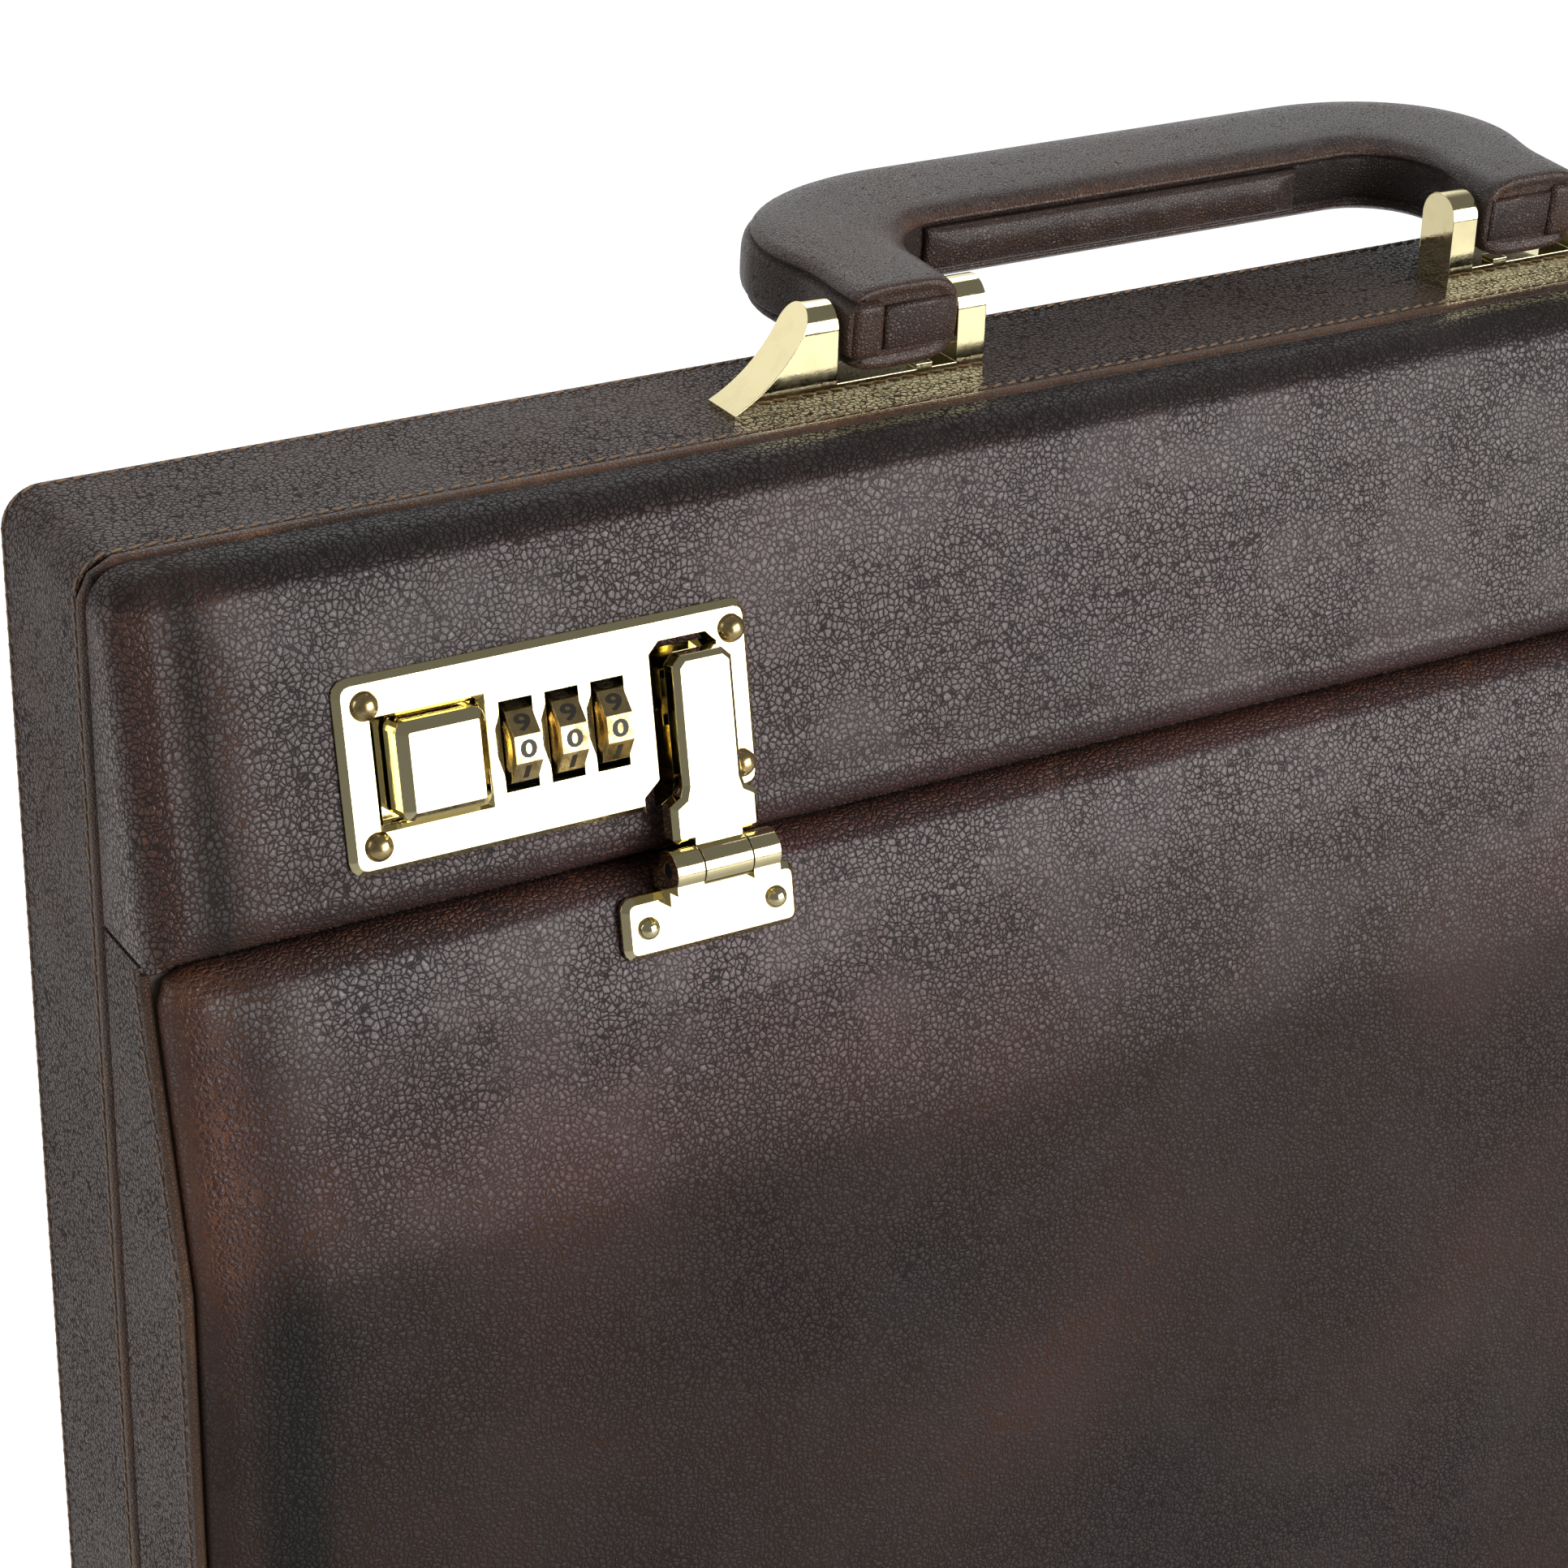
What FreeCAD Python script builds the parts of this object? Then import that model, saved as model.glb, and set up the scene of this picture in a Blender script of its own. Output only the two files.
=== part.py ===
import FreeCAD
import Part
import math
import os

V = FreeCAD.Vector
os.makedirs("parts", exist_ok=True)

# Hard-sided leather flight bag that stands on its feet.  Millimetres, +Z up, +X to its right, front to -Y.
# The pieces are drawn from the plane where the back shell ends in front, then moved so that the origin lies
# on the standing surface at the middle of the whole bag, with its handle laid back.

# ---------------------------------------------------------------- driving dimensions: shells
case_w = 460.0          # width over the leather
case_h = 330.0          # height of the shells, without the feet
back_depth = 36.0       # depth of the back shell
corner_r = 7.2          # rounded corners of the shells, seen from the front
foot_h = 8.0            # height of the feet
band_t = 1.6            # leather on the sides of both shells
wall_t = 5.0            # board walls of both shells
back_board_t = 5.0      # board behind the back leather
lining_t = 1.2          # cloth-covered lining
back_pad_t = 5.0        # padding that stands proud of the back
back_pad_inset = 7.0    # its distance from the shell's outline
back_pad_r = 3.5        # rounding of its edge
back_pad_corner = 6.0   # its corners, seen from behind

piping_proud = 0.5      # rolled piping round the front rim of the back shell
piping_front = 0.9      # how far it stands in front of the origin plane
piping_back = 2.4       # how far it reaches behind the origin plane
piping_in = 3.4         # its depth inward from the outline
groove_w = 1.2          # dark groove between the piping and the front parts

rail_t = 2.2            # metal rail in the back shell, which the lid closes over
rail_fit = 0.4          # clearance between the rail and the lid's walls
rail_front = 6.0        # how far the rail reaches into the front parts
rail_back = 10.0        # how far it reaches into the back shell

# ---------------------------------------------------------------- driving dimensions: lock panel and lid
panel_top_depth = 12.0  # lock panel: depth at its top edge
panel_lean = 11.7       # lock panel: slope of its face, in degrees from upright
panel_h = 63.4          # lock panel: height down to the seam
panel_skin = 2.0        # its leather
panel_board = 4.6       # its board
panel_edge_r = 6.8      # rounding of its leather edge
backing_t = 1.6         # board that closes the lock panel from inside
backing_y = 2.6         # front parts: the backing's back face lies this far in front of the origin plane

seam_gap = 1.0          # gap between the lock panel and the lid
strip_top = 17.0        # lid: depth of its side strips at the seam
strip_low = 30.0        # lid: depth of its side strips below their bend
bend_drop = 120.0       # the bend lies this far below the top of the case
lid_board_t = 4.0       # board behind the lid's face
face_low = 7.0          # padding of the lid's face below the bend
face_inset = 1.0        # the face starts this far inside the outline
face_edge_r = 6.0       # rounding of the padded face

# ---------------------------------------------------------------- driving dimensions: bottom hinge and stays
hinge_len = 400.0
hinge_pin_r = 1.0
hinge_fit = 0.05        # radial running clearance of every hinge pin
knuckle_r = 2.2
knuckle_gap = 0.3
knuckle_count = 20
leaf_w = 10.6
leaf_t = 1.2
leaf_web_t = 1.2

stay_reach = 75.0       # height of a stay's two shell pivots above the bottom hinge
stay_spread = 8.0       # their distance in front of and behind the bottom hinge
stay_w = 8.0
stay_t = 1.4
stay_gap = 0.4          # side clearance between a link and its neighbour
stay_post_r = 1.9
stay_rivet_r = 1.6
stay_slack = 0.35       # looseness where a link drops over the lid's post
stay_head_r = 3.2
stay_head_t = 0.9

pocket_w = 380.0        # document pocket on the back lining
pocket_h = 165.0
pocket_z = 44.0         # height of its lower edge above the standing surface
pocket_t = 1.8
pocket_gap = 6.0
pocket_seam = 8.0

# ---------------------------------------------------------------- driving dimensions: feet
foot_x = 186.0
foot_back_y = 25.0
foot_front_y = 20.0
foot_r = 6.5
foot_tip_r = 4.8
foot_screw_r = 1.5
foot_screw_len = 4.0

# ---------------------------------------------------------------- driving dimensions: locks
plate_end = 34.9        # lock plate: from the case's end to the plate
plate_v = 38.05         # its centre, down the panel's slope from its top edge
plate_w = 77.3
plate_h = 33.7
plate_t = 1.6
plate_bevel = 1.2
plate_corner = 2.8
cut_count = 3           # a rounded corner of a stamped plate is drawn as this many short sides
rivet_r = 2.6           # domed rivets of the lock plate
rivet_high = 2.1
rivet_shank_r = 1.2
rivet_in_x = 5.2        # rivets from the plate's outer end
rivet_in_hasp = 3.6     # rivets from its hasp end
rivet_in_z = 4.9
rivet_tail = 0.8

recess_x = -22.45       # button recess: centre, from the plate's centre
recess_w = 19.0
recess_h = 17.8
recess_bevel = 0.9      # bevel round its edge
button_w = 16.2
button_h = 17.0
button_proud = 5.0      # above the leather
button_bevel = 1.7
button_side_fit = 0.2
button_corner = 1.8
button_skirt = 1.4      # how far its sides reach below the leather
shank_w = 9.0
shank_h = 8.0
slider_t = 1.0
slider_h = 7.0
slider_room = 0.4       # clearance round the slider in the walls that it passes
nose_t = 1.2            # nose of the slider, which holds the hasp's hook
nose_gap = 0.6          # between the nose and the hook when the lock is shut
nose_under = 0.4        # between the nose and the tray above it

dial_x = 2.05           # middle dial: centre, from the plate's centre
dial_pitch = 8.6
dial_count = 3
dial_r = 7.6            # over the corners of its ten faces
dial_faces = 10
dial_w = 5.0
dial_hub_r = 5.0
dial_hub_w = 5.7
dial_deep = 3.6         # axle below the plate's front
dial_slot_w = 6.2
dial_slot_fit = 0.5
axle_r = 1.2
collar_r = 1.75         # collars of the axle that keep the dials apart
collar_gap = 0.15

housing_in_x = 5.6      # housing from the plate's outer end
housing_in_hasp = 5.8
housing_in_z = 6.5
housing_t = 1.0
housing_deep = 13.6     # below the leather
slider_floor = 0.3      # between the slider and the housing's floor
bridge_t = 1.0          # walls inside the housing that carry the axle
bridge_gap = 0.4

slot_x0 = 18.95         # hasp slot: its near and far edge, from the plate's centre
slot_x1 = 32.05
slot_top = 12.35
tray_deep = 2.4         # sloped tray of the slot, below the leather
tray_t = 0.7
tray_slope = 1.6
tray_corner = 2.0       # cut corners at the slot's upper end
tray_flare = 3.1        # the slot opens out this much at the plate's lower edge
tray_flare_z = 2.6
cut_fit = 0.5           # leather and board are cut this much wider than what passes through

# ---------------------------------------------------------------- driving dimensions: hasps
hasp_x = 26.75          # hasp centre, from the plate's centre
hasp_axis_v = 64.5      # hasp hinge, down the slope
hasp_axis_n = 6.2       # and in front of the leather
hasp_r = 3.65
hasp_pin_r = 1.4
tongue_w = 11.4
tongue_wide = 16.8
tongue_top = 10.25
tongue_neck = -15.1     # where the tongue widens
tongue_back = 2.7       # its back face in front of the leather
tongue_t = 4.0
tongue_bevel = 1.0
tongue_cut = 1.7        # its cut upper corners
tongue_clear = 0.4      # between its lower end and the knuckles of the base
web_back = 0.4          # the web to the knuckle starts this far in front of its back face
centre_w = 9.2          # knuckle of the tongue
ear_w = 20.2            # over both knuckles of the base
ear_gap = 0.25
hook_w = 6.0
hook_h = 6.4
hook_z = 0.6
hook_deep = 6.5
hook_t = 2.4
hook_room = 1.0         # round the hook, in the tray
hook_rise = 2.4         # and above it, because it rises as it leaves
base_v0 = 69.4          # base plate, down the slope
base_v1 = 80.8
base_w = 34.4
base_t = 2.0
base_bevel = 1.2
base_corner = 2.2
above_seam = 0.5        # the ears' neck clears the leather by this much
neck_share = 0.8        # the neck's depth, as a share of the knuckle's radius
neck_under = 2.2        # how far the neck laps the riser
web_t = 0.6             # wall left behind the tongue's knuckle
riser_w = 18.4
riser_v0 = 66.2
riser_v1 = 71.6
riser_t = 4.4
base_rivet_r = 2.1
base_rivet_high = 1.8
base_rivet_x = 12.6
base_rivet_shank = 1.0

# ---------------------------------------------------------------- driving dimensions: handle and its brackets
bracket_in = 53.7       # inner face of a bracket, from the middle of the case
bracket_len = 51.7
bracket_y0 = 8.7
bracket_w = 9.3
bracket_base = 3.6
ear_in_t = 5.9
ear_out_x = 84.6        # inner face of the outer ear
ear_out_t = 5.2
pin_z = 13.4            # handle pin above the top of the case
pin_r = 1.5
pin_bite = 3.6          # how far the pin enters each ear
tip_h = 1.0
ramp_mid_x = 97.2
ramp_mid_z = 6.6
tab_x = 66.4
tab_w = 3.4
tab_h = 0.9
screw_r = 1.9
screw_head_r = 3.6
screw_head_t = 2.0
screw_out_x = 95.0
screw_in_x = 56.7
screw_bite = 3.2
screw_head_fit = 0.3

handle_lean = 86.0      # degrees from upright at which it rests, leaning back
handle_t = 16.4
grip_in = 22.5          # inner face of the grip from the pin
grip_out = 49.0         # outer face of the grip from the pin
leg_out = 86.6          # widest point of a leg, from the middle of the case
leg_out_r = 13.0        # its distance from the pin
leg_in = 60.2           # inner face of a leg
block_side_fit = 0.6    # leg to ear
block_end = 6.0         # leg's end, past the pin
grip_straight = 46.0    # half-length of the straight grip, outside
inner_corner = 14.0
handle_edge_r = 4.6
core_t = 5.0
core_in = 7.0           # leather round the core, in the handle's own plane
strip_x0 = -50.0        # inset strip on the grip's inner face
strip_x1 = 35.5
strip_w = 8.4
strip_t = 1.6
strip_bed = 1.1         # how deep it is let into the leather

# ---------------------------------------------------------------- derived places
top_z = foot_h + case_h
mid_z = foot_h + case_h / 2
front_y = -(piping_front + groove_w)
lean_rad = math.radians(panel_lean)
lean_tan = math.tan(lean_rad)
seam_z = top_z - panel_h
lid_top_z = seam_z - seam_gap
panel_low_depth = panel_top_depth + panel_h * lean_tan
inner_inset = band_t + wall_t
rail_inset = inner_inset + rail_fit
bend_z = top_z - bend_drop
lid_deep_y = -(strip_low + face_low)
pin_y = bracket_y0 + bracket_w / 2
tilt_rad = math.radians(90 - handle_lean)
handle_far_y = pin_y + (grip_out - handle_edge_r) * math.cos(tilt_rad)
handle_far_y += (handle_t / 2 - handle_edge_r) * math.sin(tilt_rad) + handle_edge_r
centre_y = (handle_far_y + lid_deep_y) / 2
axis_y = -(piping_front + groove_w) / 2 + piping_front / 2 - 0.15
axis_z = foot_h - piping_proud - 0.2 - knuckle_r


# ---------------------------------------------------------------- shape helpers
def box(x0, x1, y0, y1, z0, z1):
    return Part.makeBox(x1 - x0, y1 - y0, z1 - z0, V(x0, y0, z0))


def rod(radius, x0, x1, y, z):
    return Part.makeCylinder(radius, x1 - x0, V(x0, y, z), V(1, 0, 0))


def outline(inset, y0, y1, least_corner=0.0):
    """Rounded outline of the shells, drawn inward by inset, as a block from y0 to y1."""
    half_w = case_w / 2 - inset
    half_h = case_h / 2 - inset
    block = box(-half_w, half_w, y0, y1, mid_z - half_h, mid_z + half_h)
    radius = max(corner_r - inset, least_corner)
    if radius <= 0.2:
        return block
    corners = [edge for edge in block.Edges if abs(edge.tangentAt(edge.FirstParameter).y) > 0.9]
    return block.makeFillet(radius, corners)


def ring(outer_inset, inner_inset_value, y0, y1):
    return outline(outer_inset, y0, y1).cut(outline(inner_inset_value, y0 - 1, y1 + 1))


def profile(points, half_width):
    """A closed outline in the Y-Z plane, drawn out to both sides of the case."""
    corners = [V(-half_width, y, z) for y, z in points]
    wire = Part.makePolygon(corners + corners[:1])
    return Part.Face(wire).extrude(V(2 * half_width, 0, 0))


def edges_where(shape, test):
    return [edge for edge in shape.Edges if test(edge.CenterOfMass)]


def dome(radius, high, x, z, n0):
    """A rivet head on a face that looks along -Y, standing from n0 in front of the origin plane."""
    sphere_r = (radius * radius + high * high) / (2 * high)
    ball = Part.makeSphere(sphere_r, V(x, -(n0 + high - sphere_r), z))
    return ball.common(box(x - radius, x + radius, -(n0 + high), -n0, z - radius, z + radius))


def drawn_in(corners, inset):
    """A counter-clockwise outline of (x, z) corners, with every side moved inward by inset."""
    moved = []
    for index, (x, z) in enumerate(corners):
        before = corners[index - 1]
        after = corners[(index + 1) % len(corners)]
        way_in = (x - before[0], z - before[1])
        way_out = (after[0] - x, after[1] - z)
        long_in = math.hypot(way_in[0], way_in[1])
        long_out = math.hypot(way_out[0], way_out[1])
        normal_in = (-way_in[1] / long_in, way_in[0] / long_in)
        normal_out = (-way_out[1] / long_out, way_out[0] / long_out)
        share = inset / (1 + normal_in[0] * normal_out[0] + normal_in[1] * normal_out[1])
        moved.append((x + share * (normal_in[0] + normal_out[0]), z + share * (normal_in[1] + normal_out[1])))
    return moved


def bevelled(corners, n0, n1, bevel):
    """A plate that faces -Y from n0 to n1, with a bevel round its front."""
    def ring_wire(n, inset):
        points = [V(x, -n, z) for x, z in drawn_in(corners, inset)]
        return Part.makePolygon(points + points[:1])
    lower = Part.Face(ring_wire(n0, 0)).extrude(V(0, n0 - (n1 - bevel), 0))
    upper = Part.makeLoft([ring_wire(n1 - bevel, 0), ring_wire(n1, bevel)], True, True)
    return lower.fuse(upper).removeSplitter()


def corner_points(x0, x1, z0, z1, corner, cuts=1):
    """A rectangle, counter-clockwise, whose corners are cut once or rounded in several short cuts."""
    points = []
    mids = [(x1 - corner, z0 + corner), (x1 - corner, z1 - corner), (x0 + corner, z1 - corner),
            (x0 + corner, z0 + corner)]
    for index, (x, z) in enumerate(mids):
        for step in range(cuts + 1):
            turn = math.radians((index - 1) * 90 + step * 90.0 / cuts)
            points.append((x + corner * math.cos(turn), z + corner * math.sin(turn)))
    return points


def on_panel(shape):
    """Moves a shape drawn on an upright face onto the slope of the lock panel."""
    placed = shape.copy()
    placed.rotate(V(0, 0, 0), V(1, 0, 0), -panel_lean)
    placed.translate(V(0, -panel_top_depth, top_z))
    return placed


def save(shape, node):
    placed = shape.copy()
    placed.translate(V(0, -centre_y, 0))
    placed.exportStep("parts/%s.step" % node)


def save_pair(left_shape, node):
    """Saves a left-hand piece and its mirror image on the right."""
    save(left_shape, node + "_left")
    save(left_shape.mirror(V(0, 0, 0), V(1, 0, 0)), node + "_right")


def both(left_shape):
    return Part.makeCompound([left_shape, left_shape.mirror(V(0, 0, 0), V(1, 0, 0))])


# ---------------------------------------------------------------- cutting tools shared by several pieces
plate_x = -(case_w / 2 - plate_end - plate_w / 2)
plate_z = -plate_v
plate_x0 = plate_x - plate_w / 2
plate_x1 = plate_x + plate_w / 2
plate_z0 = plate_z - plate_h / 2
plate_z1 = plate_z + plate_h / 2
housing_x0 = plate_x0 + housing_in_x
housing_x1 = plate_x1 - housing_in_hasp
housing_z0 = plate_z0 + housing_in_z
housing_z1 = plate_z1 - housing_in_z
tray_x0 = plate_x + slot_x0
tray_x1 = plate_x + slot_x1
tray_z1 = plate_z + slot_top
rivet_places = [
    (plate_x0 + rivet_in_x, plate_z0 + rivet_in_z),
    (plate_x0 + rivet_in_x, plate_z1 - rivet_in_z),
    (plate_x1 - rivet_in_hasp, plate_z0 + rivet_in_z),
    (plate_x1 - rivet_in_hasp, plate_z1 - rivet_in_z),
]
through = panel_skin + panel_board
hasp_mid = plate_x + hasp_x
base_mid_v = (base_v0 + base_v1) / 2
base_rivets = [(hasp_mid - base_rivet_x, -base_mid_v), (hasp_mid + base_rivet_x, -base_mid_v)]


def lock_cutout():
    """What the left lock needs removed from the panel's leather and board."""
    hole = box(housing_x0 - cut_fit, housing_x1 + cut_fit, -1, through + 1,
               housing_z0 - cut_fit, housing_z1 + cut_fit)
    tray_back = tray_deep + tray_t + cut_fit
    tray_hole = box(tray_x0 - cut_fit, tray_x1 + cut_fit, -1, tray_back, plate_z0 - cut_fit,
                    tray_z1 + cut_fit)
    hole = hole.fuse(tray_hole)
    hole = hole.fuse(box(tray_x0 - tray_flare - cut_fit, tray_x0, -1, tray_back, plate_z0 - cut_fit,
                         plate_z0 + 2 * tray_flare_z + cut_fit))
    for x, z in rivet_places:
        hole = hole.fuse(Part.makeCylinder(rivet_shank_r, through + 2, V(x, -1, z), V(0, 1, 0)))
    return on_panel(hole)


def base_rivet_holes():
    """Holes of the left hasp's rivets through the lid's padding and board."""
    deep = 2 * (strip_low + face_low)
    holes = [Part.makeCylinder(base_rivet_shank, deep, V(x, -1, z), V(0, 1, 0)) for x, z in base_rivets]
    return on_panel(holes[0].fuse(holes[1]))


bracket_tip = bracket_in + bracket_len
screw_places = [(-screw_out_x, pin_y), (-screw_in_x, pin_y)]
screw_low = top_z - inner_inset


def screw_head_holes():
    heads = [Part.makeCylinder(screw_head_r + screw_head_fit, lining_t + 2, V(x, y, screw_low - lining_t - 1))
             for x, y in screw_places]
    return both(heads[0].fuse(heads[1]))


def bracket_screw_holes():
    holes = [Part.makeCylinder(screw_r, inner_inset + 2, V(x, y, screw_low - 1)) for x, y in screw_places]
    return both(holes[0].fuse(holes[1]))


# ---------------------------------------------------------------- back shell
def back_shell():
    board_back = back_depth - band_t
    holes = bracket_screw_holes()
    walls = ring(band_t, inner_inset, piping_back, board_back).cut(holes)
    feet = both(Part.makeCylinder(foot_screw_r, foot_screw_len + 1, V(-foot_x, foot_back_y, foot_h - 1)))
    save(walls.cut(feet), "back_shell_walls")
    save(outline(inner_inset, board_back - back_board_t, board_back), "back_board")
    save(ring(0, band_t, piping_back, back_depth).cut(holes).cut(feet), "back_band_leather")

    flat = outline(band_t, board_back, back_depth)
    pad = outline(back_pad_inset, back_depth, back_depth + back_pad_t, back_pad_corner)
    far_y = back_depth + back_pad_t
    rim = edges_where(pad, lambda c: c.y > far_y - 0.1)
    save(flat.fuse(pad.makeFillet(back_pad_r, rim)), "back_leather_pad")

    piping = ring(-piping_proud, piping_in, -piping_front, piping_back)
    half = case_w / 2 + piping_proud
    low = foot_h - piping_proud
    high = top_z + piping_proud
    far = corner_r * 0.5

    def outer_edge(c):
        side = abs(abs(c.x) - half) < far and abs(c.y + piping_front) < 0.01
        ends = (abs(c.z - low) < far or abs(c.z - high) < far) and abs(c.y + piping_front) < 0.01
        inner = abs(c.x) < half - piping_in and low + piping_in < c.z < high - piping_in
        return (side or ends) and not inner

    front_edges = [e for e in edges_where(piping, outer_edge) if on_outer_rim(e, half, low, high)]
    save(piping.makeFillet(min(piping_front, piping_in) * 0.95, front_edges), "rim_piping")

    lining_y = board_back - back_board_t
    tray = outline(inner_inset, rail_back + 0.4, lining_y)
    tray = tray.cut(outline(inner_inset + lining_t, rail_back, lining_y - lining_t))
    save(tray.cut(screw_head_holes()), "back_lining")

    far = case_w
    rail_end = lid_top_z - inner_inset - rail_fit
    rail = ring(rail_inset, rail_inset + rail_t, -rail_front, rail_back)
    save(rail.common(box(-far, far, -far, far, 0, rail_end)), "closing_rail")

    frame_end = seam_z + panel_skin + panel_board
    frame = ring(inner_inset, inner_inset + rail_t, -rail_front, rail_back)
    frame = frame.cut(bracket_screw_holes()).cut(screw_head_holes())
    save(frame.common(box(-far, far, -far, far, frame_end, 2 * top_z)), "joining_frame")


def on_outer_rim(edge, half, low, high):
    """True for an edge that lies on the outermost outline of the piping."""
    point = edge.valueAt((edge.FirstParameter + edge.LastParameter) / 2)
    reach = corner_r + piping_proud
    slack = 0.05
    dx = max(0.0, abs(point.x) - (half - reach))
    dz = max(0.0, abs(point.z - (low + high) / 2) - ((high - low) / 2 - reach))
    if dx > 0 and dz > 0:
        return abs(math.hypot(dx, dz) - reach) < slack
    return abs(abs(point.x) - half) < slack or abs(point.z - low) < slack or abs(point.z - high) < slack


back_shell()


# ---------------------------------------------------------------- lock panel
def wedge(inset, back_y):
    """The lock panel's form, drawn inward by inset on every side but its back."""
    slope = inset / math.cos(lean_rad)
    top = top_z - inset
    low = seam_z + inset
    front_top = -(panel_top_depth + inset * lean_tan) + slope
    front_low = -(panel_low_depth - inset * lean_tan) + slope
    form = profile([(back_y, top), (front_top, top), (front_low, low), (back_y, low)], case_w)
    return form.common(outline(inset, -panel_low_depth - 5, back_y))


def panel_front_y(z):
    return -(panel_top_depth + (top_z - z) * lean_tan)


def lock_panel():
    cutout = both(lock_cutout())
    form = wedge(0, front_y)

    def front_rim(c):
        return abs(c.y - panel_front_y(c.z)) < 0.3

    def board_rim(c):
        return abs(c.y - panel_front_y(c.z) - panel_skin / math.cos(lean_rad)) < 0.3

    core = wedge(panel_skin, front_y)
    core = core.makeFillet(panel_edge_r - panel_skin, edges_where(core, board_rim))
    deeper = wedge(panel_skin, front_y + 1)
    deeper = deeper.makeFillet(panel_edge_r - panel_skin, edges_where(deeper, board_rim))
    rounded = form.makeFillet(panel_edge_r, edges_where(form, front_rim))
    save(rounded.cut(deeper).cut(cutout), "lock_panel_leather")
    save(core.cut(wedge(panel_skin + panel_board, front_y + 1)).cut(cutout), "lock_panel_board")

    inset = panel_skin + panel_board
    back_y = -backing_y
    inside = wedge(inset, back_y).common(box(-case_w, case_w, back_y - backing_t, back_y, 0, 2 * top_z))
    frame_core = outline(inner_inset + rail_t, -case_h, case_h)
    save(inside.common(frame_core), "lock_panel_backing")


lock_panel()


# ---------------------------------------------------------------- lid
def lid_profile(top_inset, front_inset, back_y):
    """The lid's side shape: slanted below the seam, upright below its bend."""
    top = lid_top_z - top_inset
    slope = (strip_low - strip_top) / (lid_top_z - bend_z)
    start = -(strip_top + top_inset * slope) + front_inset
    return [(back_y, top), (start, top), (-strip_low + front_inset, bend_z), (-strip_low + front_inset, 0),
            (back_y, 0)]


def face_profile(back_shift):
    slope_y = panel_front_y(lid_top_z)
    bend_face = -(strip_low + face_low)
    bend_face_z = top_z - (strip_low + face_low - panel_top_depth) / lean_tan
    front = [(slope_y, lid_top_z), (bend_face, bend_face_z), (bend_face, 0)]
    back = [(-strip_low + back_shift, 0), (-strip_low + back_shift, bend_z),
            (-strip_top + back_shift, lid_top_z)]
    return front + back


def lid():
    far = -lid_deep_y + 5
    rivet_holes = both(base_rivet_holes())
    skin = outline(0, -far, front_y).common(profile(lid_profile(0, 0, front_y), case_w))
    under_skin = profile(lid_profile(band_t, -20, 1), case_w)
    skin = skin.cut(outline(band_t, -far - 1, front_y + 1).common(under_skin))
    feet = both(Part.makeCylinder(foot_screw_r, foot_screw_len + 1, V(-foot_x, -foot_front_y, foot_h - 1)))
    save(skin.cut(feet), "lid_strip_leather")

    walls = outline(band_t, -far, front_y).common(profile(lid_profile(band_t, lid_board_t, front_y), case_w))
    room = profile(lid_profile(inner_inset, -20, 1), case_w)
    hollow = outline(inner_inset, -far - 1, front_y + 1).common(room)
    save(walls.cut(hollow).cut(feet), "lid_walls")

    front_board = outline(band_t, -far, 0).common(profile(lid_profile(band_t, 0, 0), case_w))
    front_board = front_board.cut(profile(lid_profile(-20, lid_board_t, 5), case_w + 5))
    save(front_board.cut(rivet_holes), "lid_front_board")

    face = outline(face_inset, -far, 0).common(profile(face_profile(0), case_w))
    bend_face_z = top_z - (strip_low + face_low - panel_top_depth) / lean_tan

    def face_rim(c):
        on_slope = c.z > bend_face_z and abs(c.y - panel_front_y(c.z)) < 0.3
        on_front = abs(c.y - lid_deep_y) < 0.3
        on_bend = abs(c.z - bend_face_z) < 0.5 and abs(c.x) < 1
        return (on_slope or on_front) and not on_bend

    face = face.makeFillet(face_edge_r, edges_where(face, face_rim))
    save(face.cut(rivet_holes), "lid_face_pad")

    lining = outline(inner_inset, -far, 0).common(profile(lid_profile(inner_inset, lid_board_t, 0), case_w))
    lining = lining.cut(profile(lid_profile(-20, lid_board_t + lining_t, 5), case_w + 5))
    save(lining.cut(rivet_holes), "lid_lining")


lid()


# ---------------------------------------------------------------- bottom hinge
def knuckle_span(index):
    pitch = hinge_len / knuckle_count
    start = -hinge_len / 2 + index * pitch
    return start + knuckle_gap / 2, start + pitch - knuckle_gap / 2


def hinge_leaf(direction, first):
    """One leaf: direction +1 under the back shell, -1 under the lid."""
    near = piping_back if direction > 0 else -front_y
    edge = direction * (near + 0.1)
    outer = direction * (near + leaf_w)
    low_y, high_y = min(edge, outer), max(edge, outer)
    leaf = box(-hinge_len / 2, hinge_len / 2, low_y, high_y, foot_h - leaf_t, foot_h)
    web_top = foot_h - piping_proud - 0.2
    for index in range(first, knuckle_count, 2):
        x0, x1 = knuckle_span(index)
        web_y = sorted([axis_y, edge + direction * leaf_t])
        web = box(x0, x1, web_y[0], web_y[1], web_top - leaf_web_t, web_top)
        leaf = leaf.fuse(web).fuse(rod(knuckle_r, x0, x1, axis_y, axis_z))
    return leaf.cut(rod(hinge_pin_r + hinge_fit, -hinge_len, hinge_len, axis_y, axis_z))


def clear_knuckles(leaf, first):
    """Cuts room in a leaf for the other leaf's knuckles."""
    for index in range(first, knuckle_count, 2):
        x0, x1 = knuckle_span(index)
        side_gap = knuckle_gap / 2
        leaf = leaf.cut(rod(knuckle_r + knuckle_gap, x0 - side_gap, x1 + side_gap, axis_y, axis_z))
    return leaf


save(clear_knuckles(hinge_leaf(1, 0), 1), "hinge_leaf_back")
save(clear_knuckles(hinge_leaf(-1, 1), 0), "hinge_leaf_lid")
save(rod(hinge_pin_r, -hinge_len / 2, hinge_len / 2, axis_y, axis_z), "hinge_pin")


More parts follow.
